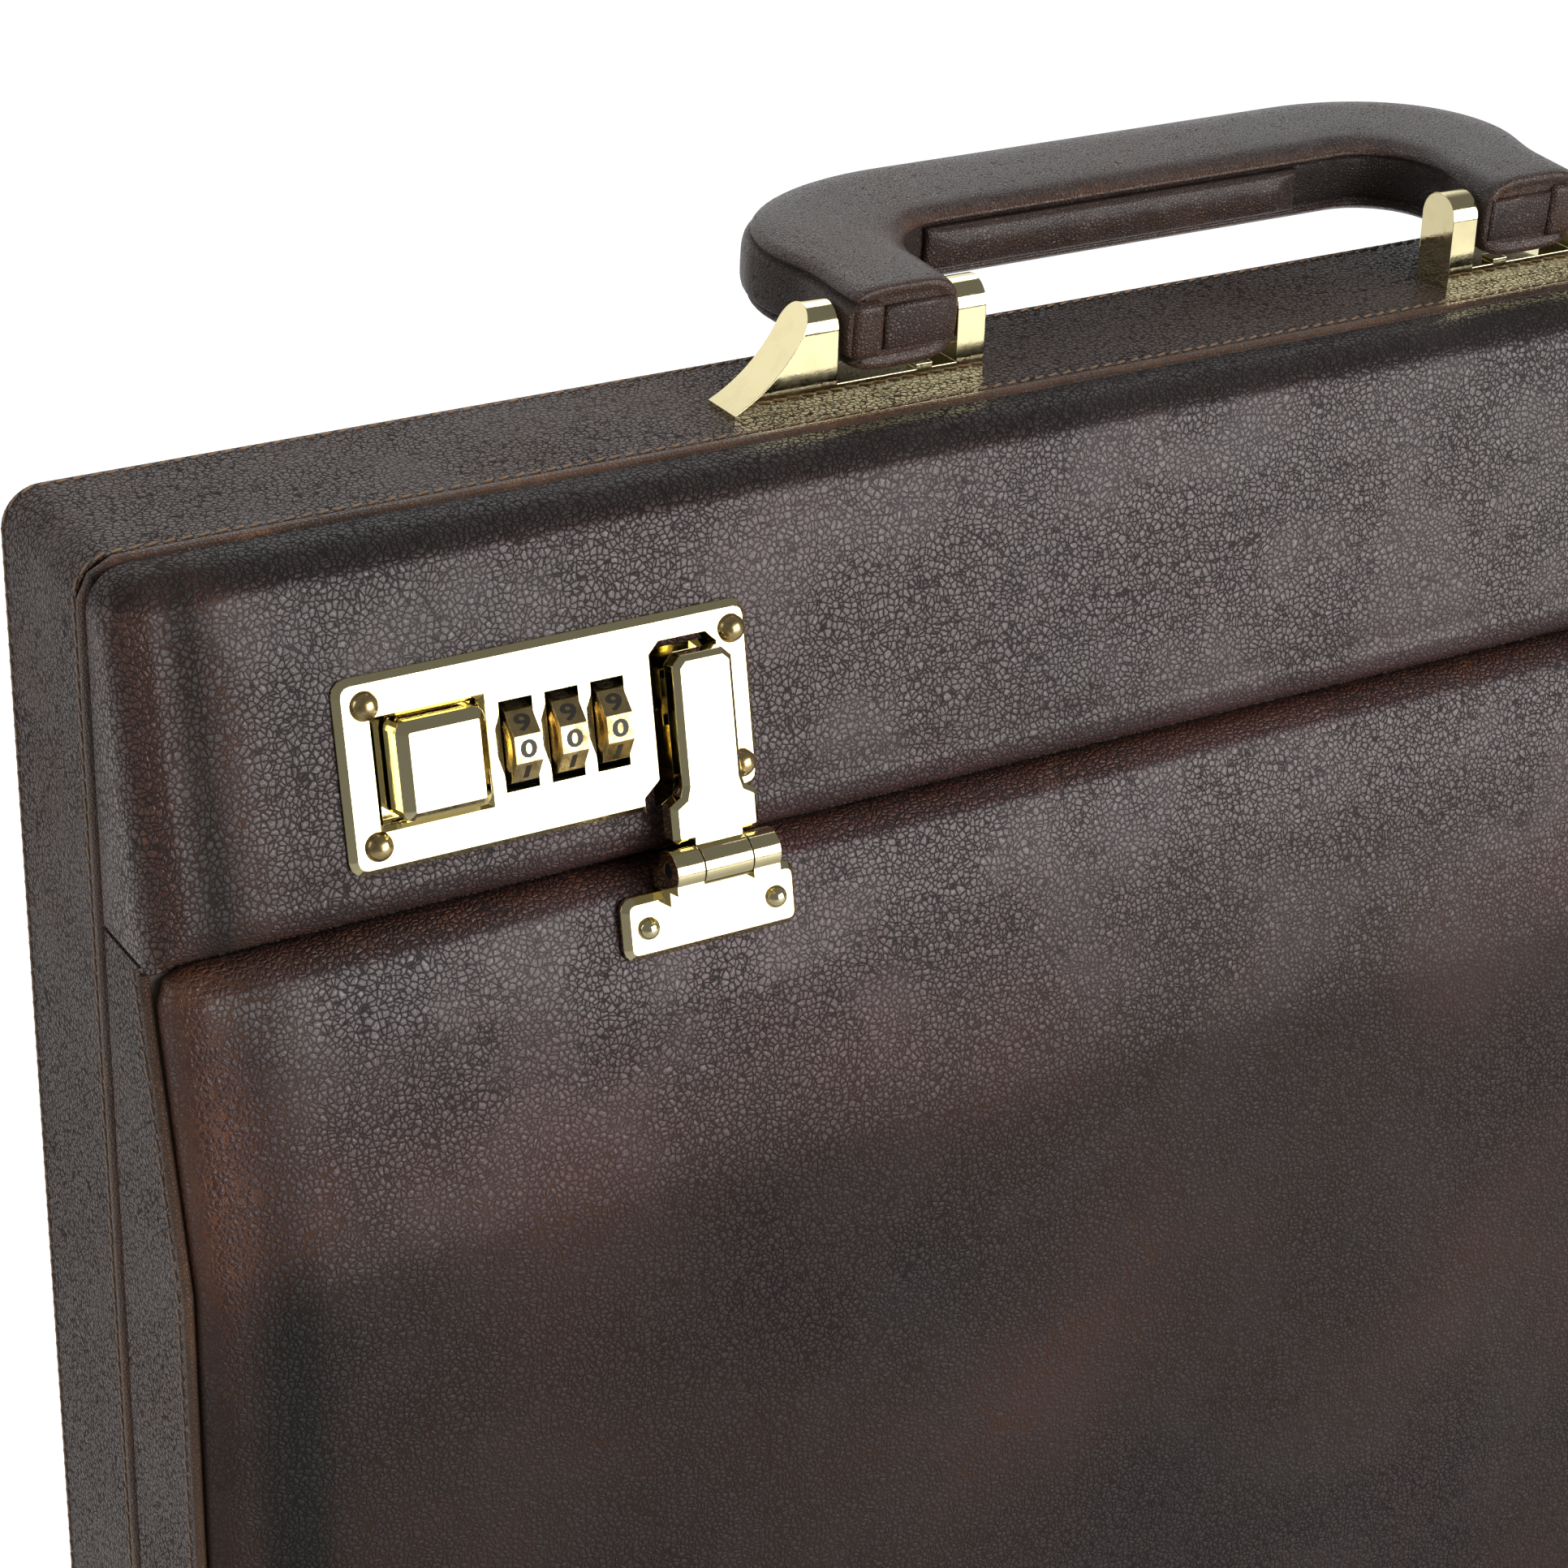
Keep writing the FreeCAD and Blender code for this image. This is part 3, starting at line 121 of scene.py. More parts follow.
def make_hide_group():
    """Grain of a tanned hide: a net of creases round soft pebbles, pores, and slow cloudy changes."""
    tree = bpy.data.node_groups.new("hide_grain", "ShaderNodeTree")
    socket(tree, "Place", "INPUT", "Vector")
    socket(tree, "Pebbles per metre", "INPUT", default=520.0)
    socket(tree, "Crease width", "INPUT", default=0.10)
    socket(tree, "Pore share", "INPUT", default=0.5)
    for name in ("Height", "Crease", "Pore", "Cloud", "Scuff"):
        socket(tree, name, "OUTPUT")
    given = add(tree, "NodeGroupInput").outputs
    wander = noise_node(tree, given[0], 170.0, 2.0)["Color"]
    wander = add(tree, "ShaderNodeVectorMath", {0: wander, 1: (0.5, 0.5, 0.5)},
                 operation="SUBTRACT").outputs[0]
    wander = add(tree, "ShaderNodeVectorMath", {0: wander, "Scale": 0.0022}, operation="SCALE").outputs[0]
    place = add(tree, "ShaderNodeVectorMath", {0: given[0], 1: wander}, operation="ADD").outputs[0]
    net = add(tree, "ShaderNodeTexVoronoi", {"Vector": place, "Scale": given[1]},
              feature="DISTANCE_TO_EDGE").outputs["Distance"]
    twice = times(tree, given[1], 2.3)
    fine = add(tree, "ShaderNodeTexVoronoi", {"Vector": place, "Scale": twice},
               feature="DISTANCE_TO_EDGE").outputs["Distance"]
    strength = ramp(tree, noise_node(tree, given[0], 45.0, 3.0)[0], 0.32, 0.62)
    crease = minus(tree, 1.0, ramp(tree, net, 0.0, given[2]))
    crease = times(tree, crease, plus(tree, 0.78, times(tree, strength, 0.4)))
    crease = smaller(tree, crease, 1.0)
    often = times(tree, given[1], 1.9)
    dots = add(tree, "ShaderNodeTexVoronoi", {"Vector": given[0], "Scale": often},
               feature="F1").outputs["Distance"]
    pore = minus(tree, 1.0, ramp(tree, dots, 0.10, 0.30))
    pore = times(tree, pore, given[3])
    pebble = ramp(tree, net, 0.0, 0.42)
    small = ramp(tree, fine, 0.0, 0.35)
    height = plus(tree, times(tree, pebble, 0.55), times(tree, small, 0.3))
    height = minus(tree, height, times(tree, crease, 0.45))
    height = minus(tree, height, times(tree, pore, 0.5))
    cloud = ramp(tree, noise_node(tree, given[0], 13.0, 5.0, Roughness=0.62)[0], 0.35, 0.68)
    scuff = ramp(tree, noise_node(tree, given[0], 60.0, 6.0, Roughness=0.7, Distortion=1.2)[0], 0.54, 0.72)
    add(tree, "NodeGroupOutput", {0: height, 1: crease, 2: pore, 3: cloud, 4: scuff})
    return tree


def make_edge_group():
    """Worn edges: where the rounded normal differs from the surface's own, broken up by the scuffs."""
    tree = bpy.data.node_groups.new("edge_wear", "ShaderNodeTree")
    socket(tree, "Width", "INPUT", default=0.0012)
    socket(tree, "Scuff", "INPUT", default=0.5)
    socket(tree, "Wear", "OUTPUT")
    given = add(tree, "NodeGroupInput").outputs
    soft = add(tree, "ShaderNodeBevel", {"Radius": given[0]}, samples=6).outputs[0]
    hard = add(tree, "ShaderNodeNewGeometry").outputs["Normal"]
    same = add(tree, "ShaderNodeVectorMath", {0: soft, 1: hard}, operation="DOT_PRODUCT").outputs["Value"]
    edge = ramp(tree, same, 0.995, 0.86)
    broken = plus(tree, 0.35, given[1])
    add(tree, "NodeGroupOutput", {0: smaller(tree, times(tree, edge, broken), 1.0)})
    return tree


hide_group = make_hide_group()
edge_group = make_edge_group()


def leather(name, dark, mid, worn, pebbles=1150.0, crease=0.13, pores=0.5, bump=0.00022, rough=(0.36, 0.50),
            edge_width=0.0012, gloss=0.5, coat=0.0, marks=False):
    """Aniline leather: a waxed brown hide, darker in its creases, cloudy, and light where it is worn."""
    material, tree, shader, place = new_material(name)
    grain = add(tree, "ShaderNodeGroup", node_tree=hide_group)
    tree.links.new(place, grain.inputs[0])
    for index, value in enumerate((pebbles, crease, pores), 1):
        grain.inputs[index].default_value = value
    height, creases, pore, cloud, scuff = grain.outputs
    colour = blend_colour(tree, cloud, dark, mid)
    if marks:
        wear, crackle, soil = [add(tree, "ShaderNodeAttribute", attribute_name=layer).outputs["Fac"]
                               for layer in ("wear", "crackle", "soil")]
        wear = times(tree, wear, plus(tree, 0.45, scuff))
        crackle = times(tree, crackle, plus(tree, 0.35, cloud))
    else:
        edges = add(tree, "ShaderNodeGroup", node_tree=edge_group)
        edges.inputs[0].default_value = edge_width
        tree.links.new(scuff, edges.inputs[1])
        wear = edges.outputs[0]
        crackle = times(tree, scuff, 0.25)
        soil = None
    colour = blend_colour(tree, times(tree, scuff, 0.10), colour, worn)
    colour = blend_colour(tree, wear, colour, worn)
    deep = (0.25 * dark[0], 0.18 * dark[1], 0.14 * dark[2], 1.0)
    veins = blend_colour(tree, crackle, deep, worn)
    lines = larger(tree, times(tree, creases, 0.95), pore)
    colour = blend_colour(tree, lines, colour, veins)
    # Painted shade, with grime in the handle's seams: nearly black where the shade-and-grime mark is high; the
    # same mark makes the leather rougher and takes away its wax.
    if soil is not None:
        colour = blend_colour(tree, soil, colour, (0.006, 0.0035, 0.0025, 1))
    tree.links.new(colour, shader.inputs["Base Color"])
    gloss_change = plus(tree, times(tree, cloud, rough[1] - rough[0]), rough[0])
    gloss_change = plus(tree, gloss_change, times(tree, lines, 0.45))
    if soil is not None:
        gloss_change = plus(tree, gloss_change, times(tree, soil, 0.35))
    tree.links.new(gloss_change, shader.inputs["Roughness"])
    raise_surface(tree, shader, height, bump)
    shader.inputs["Specular IOR Level"].default_value = gloss
    if coat:
        wax = times(tree, minus(tree, 1.0, lines), coat)
        if soil is not None:
            wax = times(tree, wax, minus(tree, 1.0, soil))
        tree.links.new(wax, shader.inputs["Coat Weight"])
        shader.inputs["Coat Roughness"].default_value = 0.26
    return material


def finish(material, *nodes):
    """Gives CAD nodes their finished material."""
    for name in nodes:
        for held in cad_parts[name].material_slots:
            held.material = material


# ---------------------------------------------------------------- back shell: boards and side leather
# The deep back half is a box of grey board.  Its sides are wrapped in smooth full-grain leather that is
# glued on, turned over both edges and sewn down with a slanting tan stitch.
band_leather = leather("band leather", (0.042, 0.0180, 0.0105, 1), (0.072, 0.0350, 0.0215, 1),
                       (0.150, 0.067, 0.032, 1), pebbles=900.0, crease=0.15, pores=0.25, bump=0.00020,
                       gloss=0.35, coat=0.18)
finish(band_leather, "back_band_leather")


def make_board():
    material, tree, shader, place = new_material("grey board")
    fibre = noise_node(tree, place, 420.0, 6.0, Roughness=0.7)[0]
    cloud = noise_node(tree, place, 25.0, 3.0)[0]
    colour = blend_colour(tree, fibre, (0.060, 0.046, 0.034, 1), (0.16, 0.13, 0.10, 1))
    colour = blend_colour(tree, times(tree, cloud, 0.4), colour, (0.04, 0.03, 0.022, 1))
    tree.links.new(colour, shader.inputs["Base Color"])
    raise_surface(tree, shader, fibre, 0.0002)
    shader.inputs["Roughness"].default_value = 0.9
    return material


board = make_board()
finish(board, "back_shell_walls", "back_board")

thread_tan = speckled("waxed thread", 1500.0, 3.0, (0.10, 0.055, 0.030, 1), (0.46, 0.29, 0.17, 1),
                      rough=0.6, bump=0.0001)


def new_piece(name, mesh_source, material, smooth=True, merge=0.0):
    """Makes an object of a bmesh, with outward normals and one material."""
    if merge:
        bmesh.ops.remove_doubles(mesh_source, verts=mesh_source.verts, dist=merge)
    mesh = bpy.data.meshes.new(name)
    mesh_source.to_mesh(mesh)
    mesh_source.free()
    mesh.materials.append(material)
    if smooth:
        mesh.polygons.foreach_set("use_smooth", [True] * len(mesh.polygons))
    piece = bpy.data.objects.new(name, mesh)
    bpy.context.scene.collection.objects.link(piece)
    return piece


shell_corner = 7.2 * mm


def walk_round(half_w, half_h, radius, mid_z, step):
    """Places and directions at even steps round a rounded outline seen from the front: (x, z, turn)."""
    straight_w, straight_h = 2 * (half_w - radius), 2 * (half_h - radius)
    arc = radius * math.pi / 2
    runs = [straight_h, arc, straight_w, arc] * 2
    total = 2 * (straight_w + straight_h) + 4 * arc
    count = int(total / step)
    found = []
    for index in range(count):
        far = index * total / count
        x, z, turn = -half_w, mid_z - half_h + radius, math.pi / 2
        for order, length in enumerate(runs):
            part = min(far, length)
            at_corner = order % 2 == 1
            if at_corner:
                swing = part / radius
                centre = Vector((x + radius * math.cos(turn - math.pi / 2),
                                 z + radius * math.sin(turn - math.pi / 2)))
                x = centre.x + radius * math.cos(turn + math.pi / 2 - swing)
                z = centre.y + radius * math.sin(turn + math.pi / 2 - swing)
                turn -= swing
            else:
                x += part * math.cos(turn)
                z += part * math.sin(turn)
            far -= part
            if far <= 0:
                break
        found.append((x, z, turn))
    return found


stitch_step, stitch_slant = 3.0 * mm, 0.30
thread_width, thread_high = 0.55 * mm, 0.42 * mm


def sew(name, stitches, length, body):
    """A row of stitches, each a short thread that bulges out of the leather."""
    row = bmesh.new()
    for place, along, out in stitches:
        side = out.cross(along)
        turned = Matrix((along * length, side * thread_width, out * thread_high)).transposed().to_4x4()
        bmesh.ops.create_cube(row, size=1.0, matrix=Matrix.Translation(place) @ turned)
    bmesh.ops.bevel(row, geom=row.edges[:], offset=0.3 * thread_high, segments=1, profile=0.5,
                    affect="EDGES", material=-1)
    piece = new_piece(name, row, thread_tan)
    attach(piece, body)


def band_stitches(y):
    """Stitches on the band at one distance from the front, slanting a little across the row."""
    low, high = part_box("back_band_leather")
    half_w = (high.x - low.x) / 2
    half_h = (high.z - low.z) / 2
    places = []
    for x, z, turn in walk_round(half_w, half_h, shell_corner, (low.z + high.z) / 2, stitch_step):
        out = Vector((-math.sin(turn), 0, math.cos(turn)))
        along = Vector((math.cos(turn), stitch_slant, math.sin(turn))).normalized()
        places.append((Vector((x, y, z)) + out * 0.05 * mm, along, out))
    return places


band_low, band_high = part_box("back_band_leather")
sew("band_stitches_front", band_stitches(band_low.y + 0.75 * mm), 2.2 * mm, "case")
sew("band_stitches_rear", band_stitches(band_high.y - 0.9 * mm), 2.2 * mm, "case")


# ---------------------------------------------------------------- rolled piping round the rim
# A strip of the same leather is rolled over a cord and sewn between the band and the front parts.
# Its ridge is rubbed to an orange brown, and its turned-in side is painted nearly black as shade in the
# groove.
piping_leather = leather("piping leather", (0.026, 0.014, 0.010, 1), (0.055, 0.029, 0.019, 1),
                         (0.24, 0.105, 0.044, 1), pebbles=1400.0, crease=0.12, pores=0.2, bump=0.00025,
                         rough=(0.28, 0.40), coat=0.3, marks=True)


def mark(piece, **rules):
    """Stores at each point how rubbed and how crackled the leather is, and how dark it is painted for shade
    and grime.
    """
    mesh = piece.data
    for name in ("wear", "crackle", "soil"):
        rule = rules.get(name)
        layer = mesh.attributes.get(name) or mesh.attributes.new(name, "FLOAT", "POINT")
        if rule:
            layer.data.foreach_set("value", [rule(vertex.co) for vertex in mesh.vertices])


def smooth_step(value, low, high):
    share = min(1.0, max(0.0, (value - low) / (high - low)))
    return share * share * (3 - 2 * share)


def roll(name, points, radius, segments, material, closed=False):
    """A rolled leather edge: rings set along a path and bridged; an open roll gets closed ends."""
    tube = bmesh.new()
    rings = []
    count = len(points)
    for index, point in enumerate(points):
        before = points[index - 1] if closed or index else point
        after = points[(index + 1) % count] if closed or index < count - 1 else point
        way = (after - before).normalized()
        depth = Vector((0, 1, 0))
        side = way.cross(depth).normalized()
        depth = side.cross(way)
        turned = Matrix((side, depth, way)).transposed().to_4x4()
        made = bmesh.ops.create_circle(tube, segments=segments, radius=radius,
                                       matrix=Matrix.Translation(point) @ turned)
        ring = set(made["verts"])
        rings.append([edge for vertex in ring for edge in vertex.link_edges])
    rings = [list(set(ring)) for ring in rings]
    pairs = list(zip(rings, rings[1:])) + ([(rings[-1], rings[0])] if closed else [])
    for first, second in pairs:
        bmesh.ops.bridge_loops(tube, edges=first + second)
    if not closed:
        bmesh.ops.holes_fill(tube, edges=tube.edges[:], sides=segments)
    bmesh.ops.recalc_face_normals(tube, faces=tube.faces[:])
    return new_piece(name, tube, material)


def rim_piping():
    low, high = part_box("rim_piping")
    radius = 1.65 * mm
    half_w = (high.x - low.x) / 2 - radius
    half_h = (high.z - low.z) / 2 - radius
    mid_z = (low.z + high.z) / 2
    points = [Vector((x, (low.y + high.y) / 2, z))
              for x, z, turn in walk_round(half_w, half_h, shell_corner - 1.0 * mm, mid_z, 4.0 * mm)]
    piece = roll("piping", points, radius, 16, piping_leather, closed=True)

    def ridge(place):
        out = max(abs(place.x) - half_w, abs(place.z - mid_z) - half_h) / radius
        front = ((low.y + high.y) / 2 - place.y) / radius
        patchy = 0.65 + 0.7 * noise.noise(place * 60.0)
        return min(1.0, max(0.0, smooth_step(out * 0.85 + front * 0.45, 0.35, 0.95) * patchy))

    # Painted shade: the inner side of the roll, in the groove, is marked to be painted nearly black.
    def inner(place):
        out = max(abs(place.x) - half_w, abs(place.z - mid_z) - half_h) / radius
        return smooth_step(-out, 0.1, 0.7)

    mark(piece, wear=ridge, crackle=lambda place: 0.6, soil=inner)
    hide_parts("rim_piping")
    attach(piece, "case")


rim_piping()


# ---------------------------------------------------------------- padded back
# The back is a flat leather turned over the board, with a thin layer of foam under a raised middle.
def plump(piece, cap, free):
    """Fills a closed cover with air by a short cloth simulation; cap is the most that a point may move, and
    free the share of it that one point may take."""
    scene = bpy.context.scene
    last_step = 20
    mesh = piece.data
    rest = [vertex.co.copy() for vertex in mesh.vertices]
    moved = rest
    cloth = piece.modifiers.new("cloth", "CLOTH")
    cloth.settings.use_pressure = True
    cloth.settings.uniform_pressure_force = 4.0
    cloth.settings.effector_weights.gravity = 0.0
    cloth.settings.quality = 4
    cloth.settings.tension_stiffness = 40
    cloth.settings.compression_stiffness = 40
    cloth.settings.bending_stiffness = 5
    cloth.point_cache.frame_start = 1
    cloth.point_cache.frame_end = last_step
    for index in range(1, last_step + 1):
        scene.frame_set(index)
    settle = bpy.context.evaluated_depsgraph_get()
    moved = [vertex.co.copy() for vertex in piece.evaluated_get(settle).data.vertices]
    piece.modifiers.clear()
    scene.frame_set(1)
    for vertex, start, end in zip(mesh.vertices, rest, moved):
        shift = end - start
        most = cap * free(start)
        if shift.length > most:
            shift = shift.normalized() * most if shift.length > 0 else shift
        vertex.co = start + shift
    mesh.polygons.foreach_set("use_smooth", [True] * len(mesh.polygons))
    smoother = piece.modifiers.new("subdivision", "SUBSURF")
    smoother.levels = 1
    smoother.render_levels = 1


def upright_block(low, high):
    """A block between two corners."""
    block = bmesh.new()
    bmesh.ops.create_cube(block, size=1.0)
    bmesh.ops.scale(block, vec=high - low, verts=block.verts)
    bmesh.ops.translate(block, vec=(high + low) / 2, verts=block.verts)
    return block


def edges_if(block, test):
    return [edge for edge in block.edges if test(edge, (edge.verts[0].co + edge.verts[1].co) / 2)]


def runs_along(edge, axis):
    way = (edge.verts[1].co - edge.verts[0].co).normalized()
    return abs(way[axis]) > 0.98


def round_edges(block, edges, radius, segments):
    bmesh.ops.bevel(block, geom=edges, offset=radius, segments=segments, profile=0.5, affect="EDGES",
                    material=-1)


front_leather = leather("front leather", (0.027, 0.0074, 0.0060, 1), (0.058, 0.0150, 0.0168, 1),
                        (0.165, 0.062, 0.027, 1), pebbles=900.0, crease=0.18, pores=0.35, bump=0.00020,
                        rough=(0.27, 0.35), gloss=0.45, coat=0.5, marks=True)


def cut_through(block, axis, places):
    """Cuts a mesh across at even or chosen places, so that its faces can follow a soft form."""
    normal = [0.0, 0.0, 0.0]
    normal[axis] = 1.0
    for place in places:
        at = [0.0, 0.0, 0.0]
        at[axis] = place
        parts = block.verts[:] + block.edges[:] + block.faces[:]
        bmesh.ops.bisect_plane(block, geom=parts, dist=0.001 * mm, plane_co=at, plane_no=normal)


def even_places(low, high, step):
    count = max(1, int((high - low) / step))
    return [low + (index + 1) * (high - low) / (count + 1) for index in range(count)]


def padded_back():
    low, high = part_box("back_leather_pad")
    board_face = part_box("back_band_leather")[1].y
    flat = upright_block(low, Vector((high.x, board_face, high.z)))
    round_edges(flat, edges_if(flat, lambda e, m: runs_along(e, 1)), shell_corner - 1.6 * mm, 8)
    rim = edges_if(flat, lambda e, m: m.y > board_face - 0.01 * mm)
    round_edges(flat, rim, 1.0 * mm, 3)
    margin = new_piece("back_margin", flat, front_leather)
    mark(margin, wear=lambda place: 0.6 * smooth_step(abs(place.x) / high.x, 0.985, 1.0))
    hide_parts("back_leather_pad")
    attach(margin, "case")
    inset = 5.6 * mm
    pad = upright_block(Vector((low.x + inset, board_face - 0.5 * mm, low.z + inset)),
                        Vector((high.x - inset, high.y - 0.6 * mm, high.z - inset)))
    round_edges(pad, edges_if(pad, lambda e, m: runs_along(e, 1)), 7.0 * mm, 6)
    rim = edges_if(pad, lambda e, m: m.y > high.y - 0.7 * mm)
    round_edges(pad, rim, 3.4 * mm, 4)
    cut_through(pad, 0, even_places(low.x + inset + 4 * mm, high.x - inset - 4 * mm, 5 * mm))
    cut_through(pad, 2, even_places(low.z + inset + 4 * mm, high.z - inset - 4 * mm, 5 * mm))
    cushion = new_piece("back_pad", pad, front_leather)
    half = Vector((high.x - inset, 0, (high.z - low.z) / 2 - inset))
    mid_z = (low.z + high.z) / 2

    def free(place):
        return 0.0 if place.y < board_face + 0.4 * mm else 1.0

    def wear(place):
        edge = min(half.x - abs(place.x), half.z - abs(place.z - mid_z))
        return 1 - smooth_step(edge, 0.0, 6 * mm)

    plump(cushion, 1.6 * mm, free)
    mark(cushion, wear=wear, crackle=wear)
    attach(cushion, "case")


padded_back()


# ---------------------------------------------------------------- lining and document pocket
# Both halves are lined with thin card covered in ribbed brown cloth.  The pocket is two layers of the same
# cloth, sewn to the back lining along three sides.
def make_lining():
    material, tree, shader, place = new_material("lining cloth")
    inputs = {"Vector": place, "Scale": 260.0, "Distortion": 0.6, "Detail": 1.0}
    warp, weft = [add(tree, "ShaderNodeTexWave", inputs, wave_type="BANDS", bands_direction=way).outputs["Fac"]
                  for way in ("X", "Z")]
    weave = times(tree, warp, weft)
    cloud = noise_node(tree, place, 18.0, 4.0)[0]
    colour = blend_colour(tree, cloud, (0.115, 0.070, 0.040, 1), (0.19, 0.125, 0.075, 1))
    colour = blend_colour(tree, times(tree, weave, 0.5), (0.05, 0.03, 0.018, 1), colour)
    mixed = blend_colour(tree, 0.7, (0.15, 0.095, 0.055, 1), colour)
    tree.links.new(mixed, shader.inputs["Base Color"])
    raise_surface(tree, shader, weave, 0.0003)
    shader.inputs["Roughness"].default_value = 0.85
    shader.inputs["Sheen Weight"].default_value = 0.25
    return material


lining_cloth = make_lining()
finish(lining_cloth, "back_lining", "document_pocket", "lid_lining")


# ---------------------------------------------------------------- metal
# Inside, a brass rail that has dulled with age stiffens the opening.  The piano hinge under the case and
# the two folding stays are blued steel, riveted to the boards.
def make_edge_normal():
    """Softens the reflections on the arrises of turned and cast metal."""
    tree = bpy.data.node_groups.new("soft_arris", "ShaderNodeTree")
    socket(tree, "Radius", "INPUT", default=0.0002)
    socket(tree, "Normal", "OUTPUT", "Vector")
    given = add(tree, "NodeGroupInput").outputs
    soft = add(tree, "ShaderNodeBevel", {"Radius": given[0]}, samples=6).outputs[0]
    add(tree, "NodeGroupOutput", {0: soft})
    return tree


arris_group = make_edge_normal()


def metal(name, clean, dull, rough, dirt_share, arris=0.00025, scratch=0.04):
    """Plated or bare metal with fine polishing marks, and dull clouds of grime."""
    material, tree, shader, place = new_material(name)
    cloud = noise_node(tree, place, 240.0, 5.0, Roughness=0.65)[0]
    hair = noise_node(tree, place, 2400.0, 2.0)[0]
    share = times(tree, ramp(tree, cloud, 0.42, 0.70), dirt_share)
    colour = blend_colour(tree, share, clean, dull)
    tree.links.new(colour, shader.inputs["Base Color"])
    rough_change = plus(tree, rough, times(tree, hair, scratch))
    rough_change = plus(tree, rough_change, times(tree, share, 0.25))
    tree.links.new(rough_change, shader.inputs["Roughness"])
    soft = add(tree, "ShaderNodeGroup", node_tree=arris_group)
    soft.inputs[0].default_value = arris
    raise_surface(tree, shader, hair, 0.000004, Normal=soft.outputs[0])
    shader.inputs["Metallic"].default_value = 1.0
    return material


aged_brass = metal("aged brass", (0.68, 0.52, 0.25, 1), (0.10, 0.060, 0.020, 1), 0.16, 0.85)
polished_brass = metal("polished brass", (0.89, 0.79, 0.47, 1), (0.78, 0.66, 0.34, 1), 0.035, 0.3,
                       scratch=0.02)
blued_steel = metal("blued steel", (0.10, 0.11, 0.14, 1), (0.05, 0.045, 0.045, 1), 0.28, 0.5)
finish(aged_brass, "closing_rail", "joining_frame")
finish(blued_steel, "hinge_leaf_back", "hinge_leaf_lid", "hinge_pin", "stay_posts_back", "stay_posts_lid",
       "stay_link_back_left", "stay_link_back_right", "stay_link_lid_left", "stay_link_lid_right")


# ---------------------------------------------------------------- feet
# Four turned rubber feet, each screwed into the bottom of a shell.
rubber = speckled("foot rubber", 900.0, 4.0, (0.012, 0.011, 0.010, 1), (0.035, 0.032, 0.030, 1),
                  rough=0.7, bump=0.0001)
finish(rubber, "feet_back", "feet_lid")


# ---------------------------------------------------------------- lock panel
# The upper front is a narrow wedge of board that leans back.  One piece of heavy leather is drawn over it,
# rolled at the edges, with a shallow valley round its face.  The valley and the top and bottom edges are
# painted dark as shade.
finish(board, "lock_panel_board", "lock_panel_backing")


panel_low, panel_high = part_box("lock_panel_leather")
panel_lean = math.radians(11.7)
panel_top_y = -24.746 * mm
panel_top_front = Vector((0, panel_top_y, panel_high.z))
panel_down = Vector((0, -math.sin(panel_lean), -math.cos(panel_lean)))
panel_out = Vector((0, -math.cos(panel_lean), math.sin(panel_lean)))


def on_panel(x, v, n):
    """A point by its distance down the panel's slope and out of its face."""
    return Vector((x, 0, 0)) + panel_top_front + panel_down * v + panel_out * n


def panel_place(point):
    """The reverse: (x, v, n) of a point."""
    away = point - panel_top_front
    return point.x, away.dot(panel_down), away.dot(panel_out)


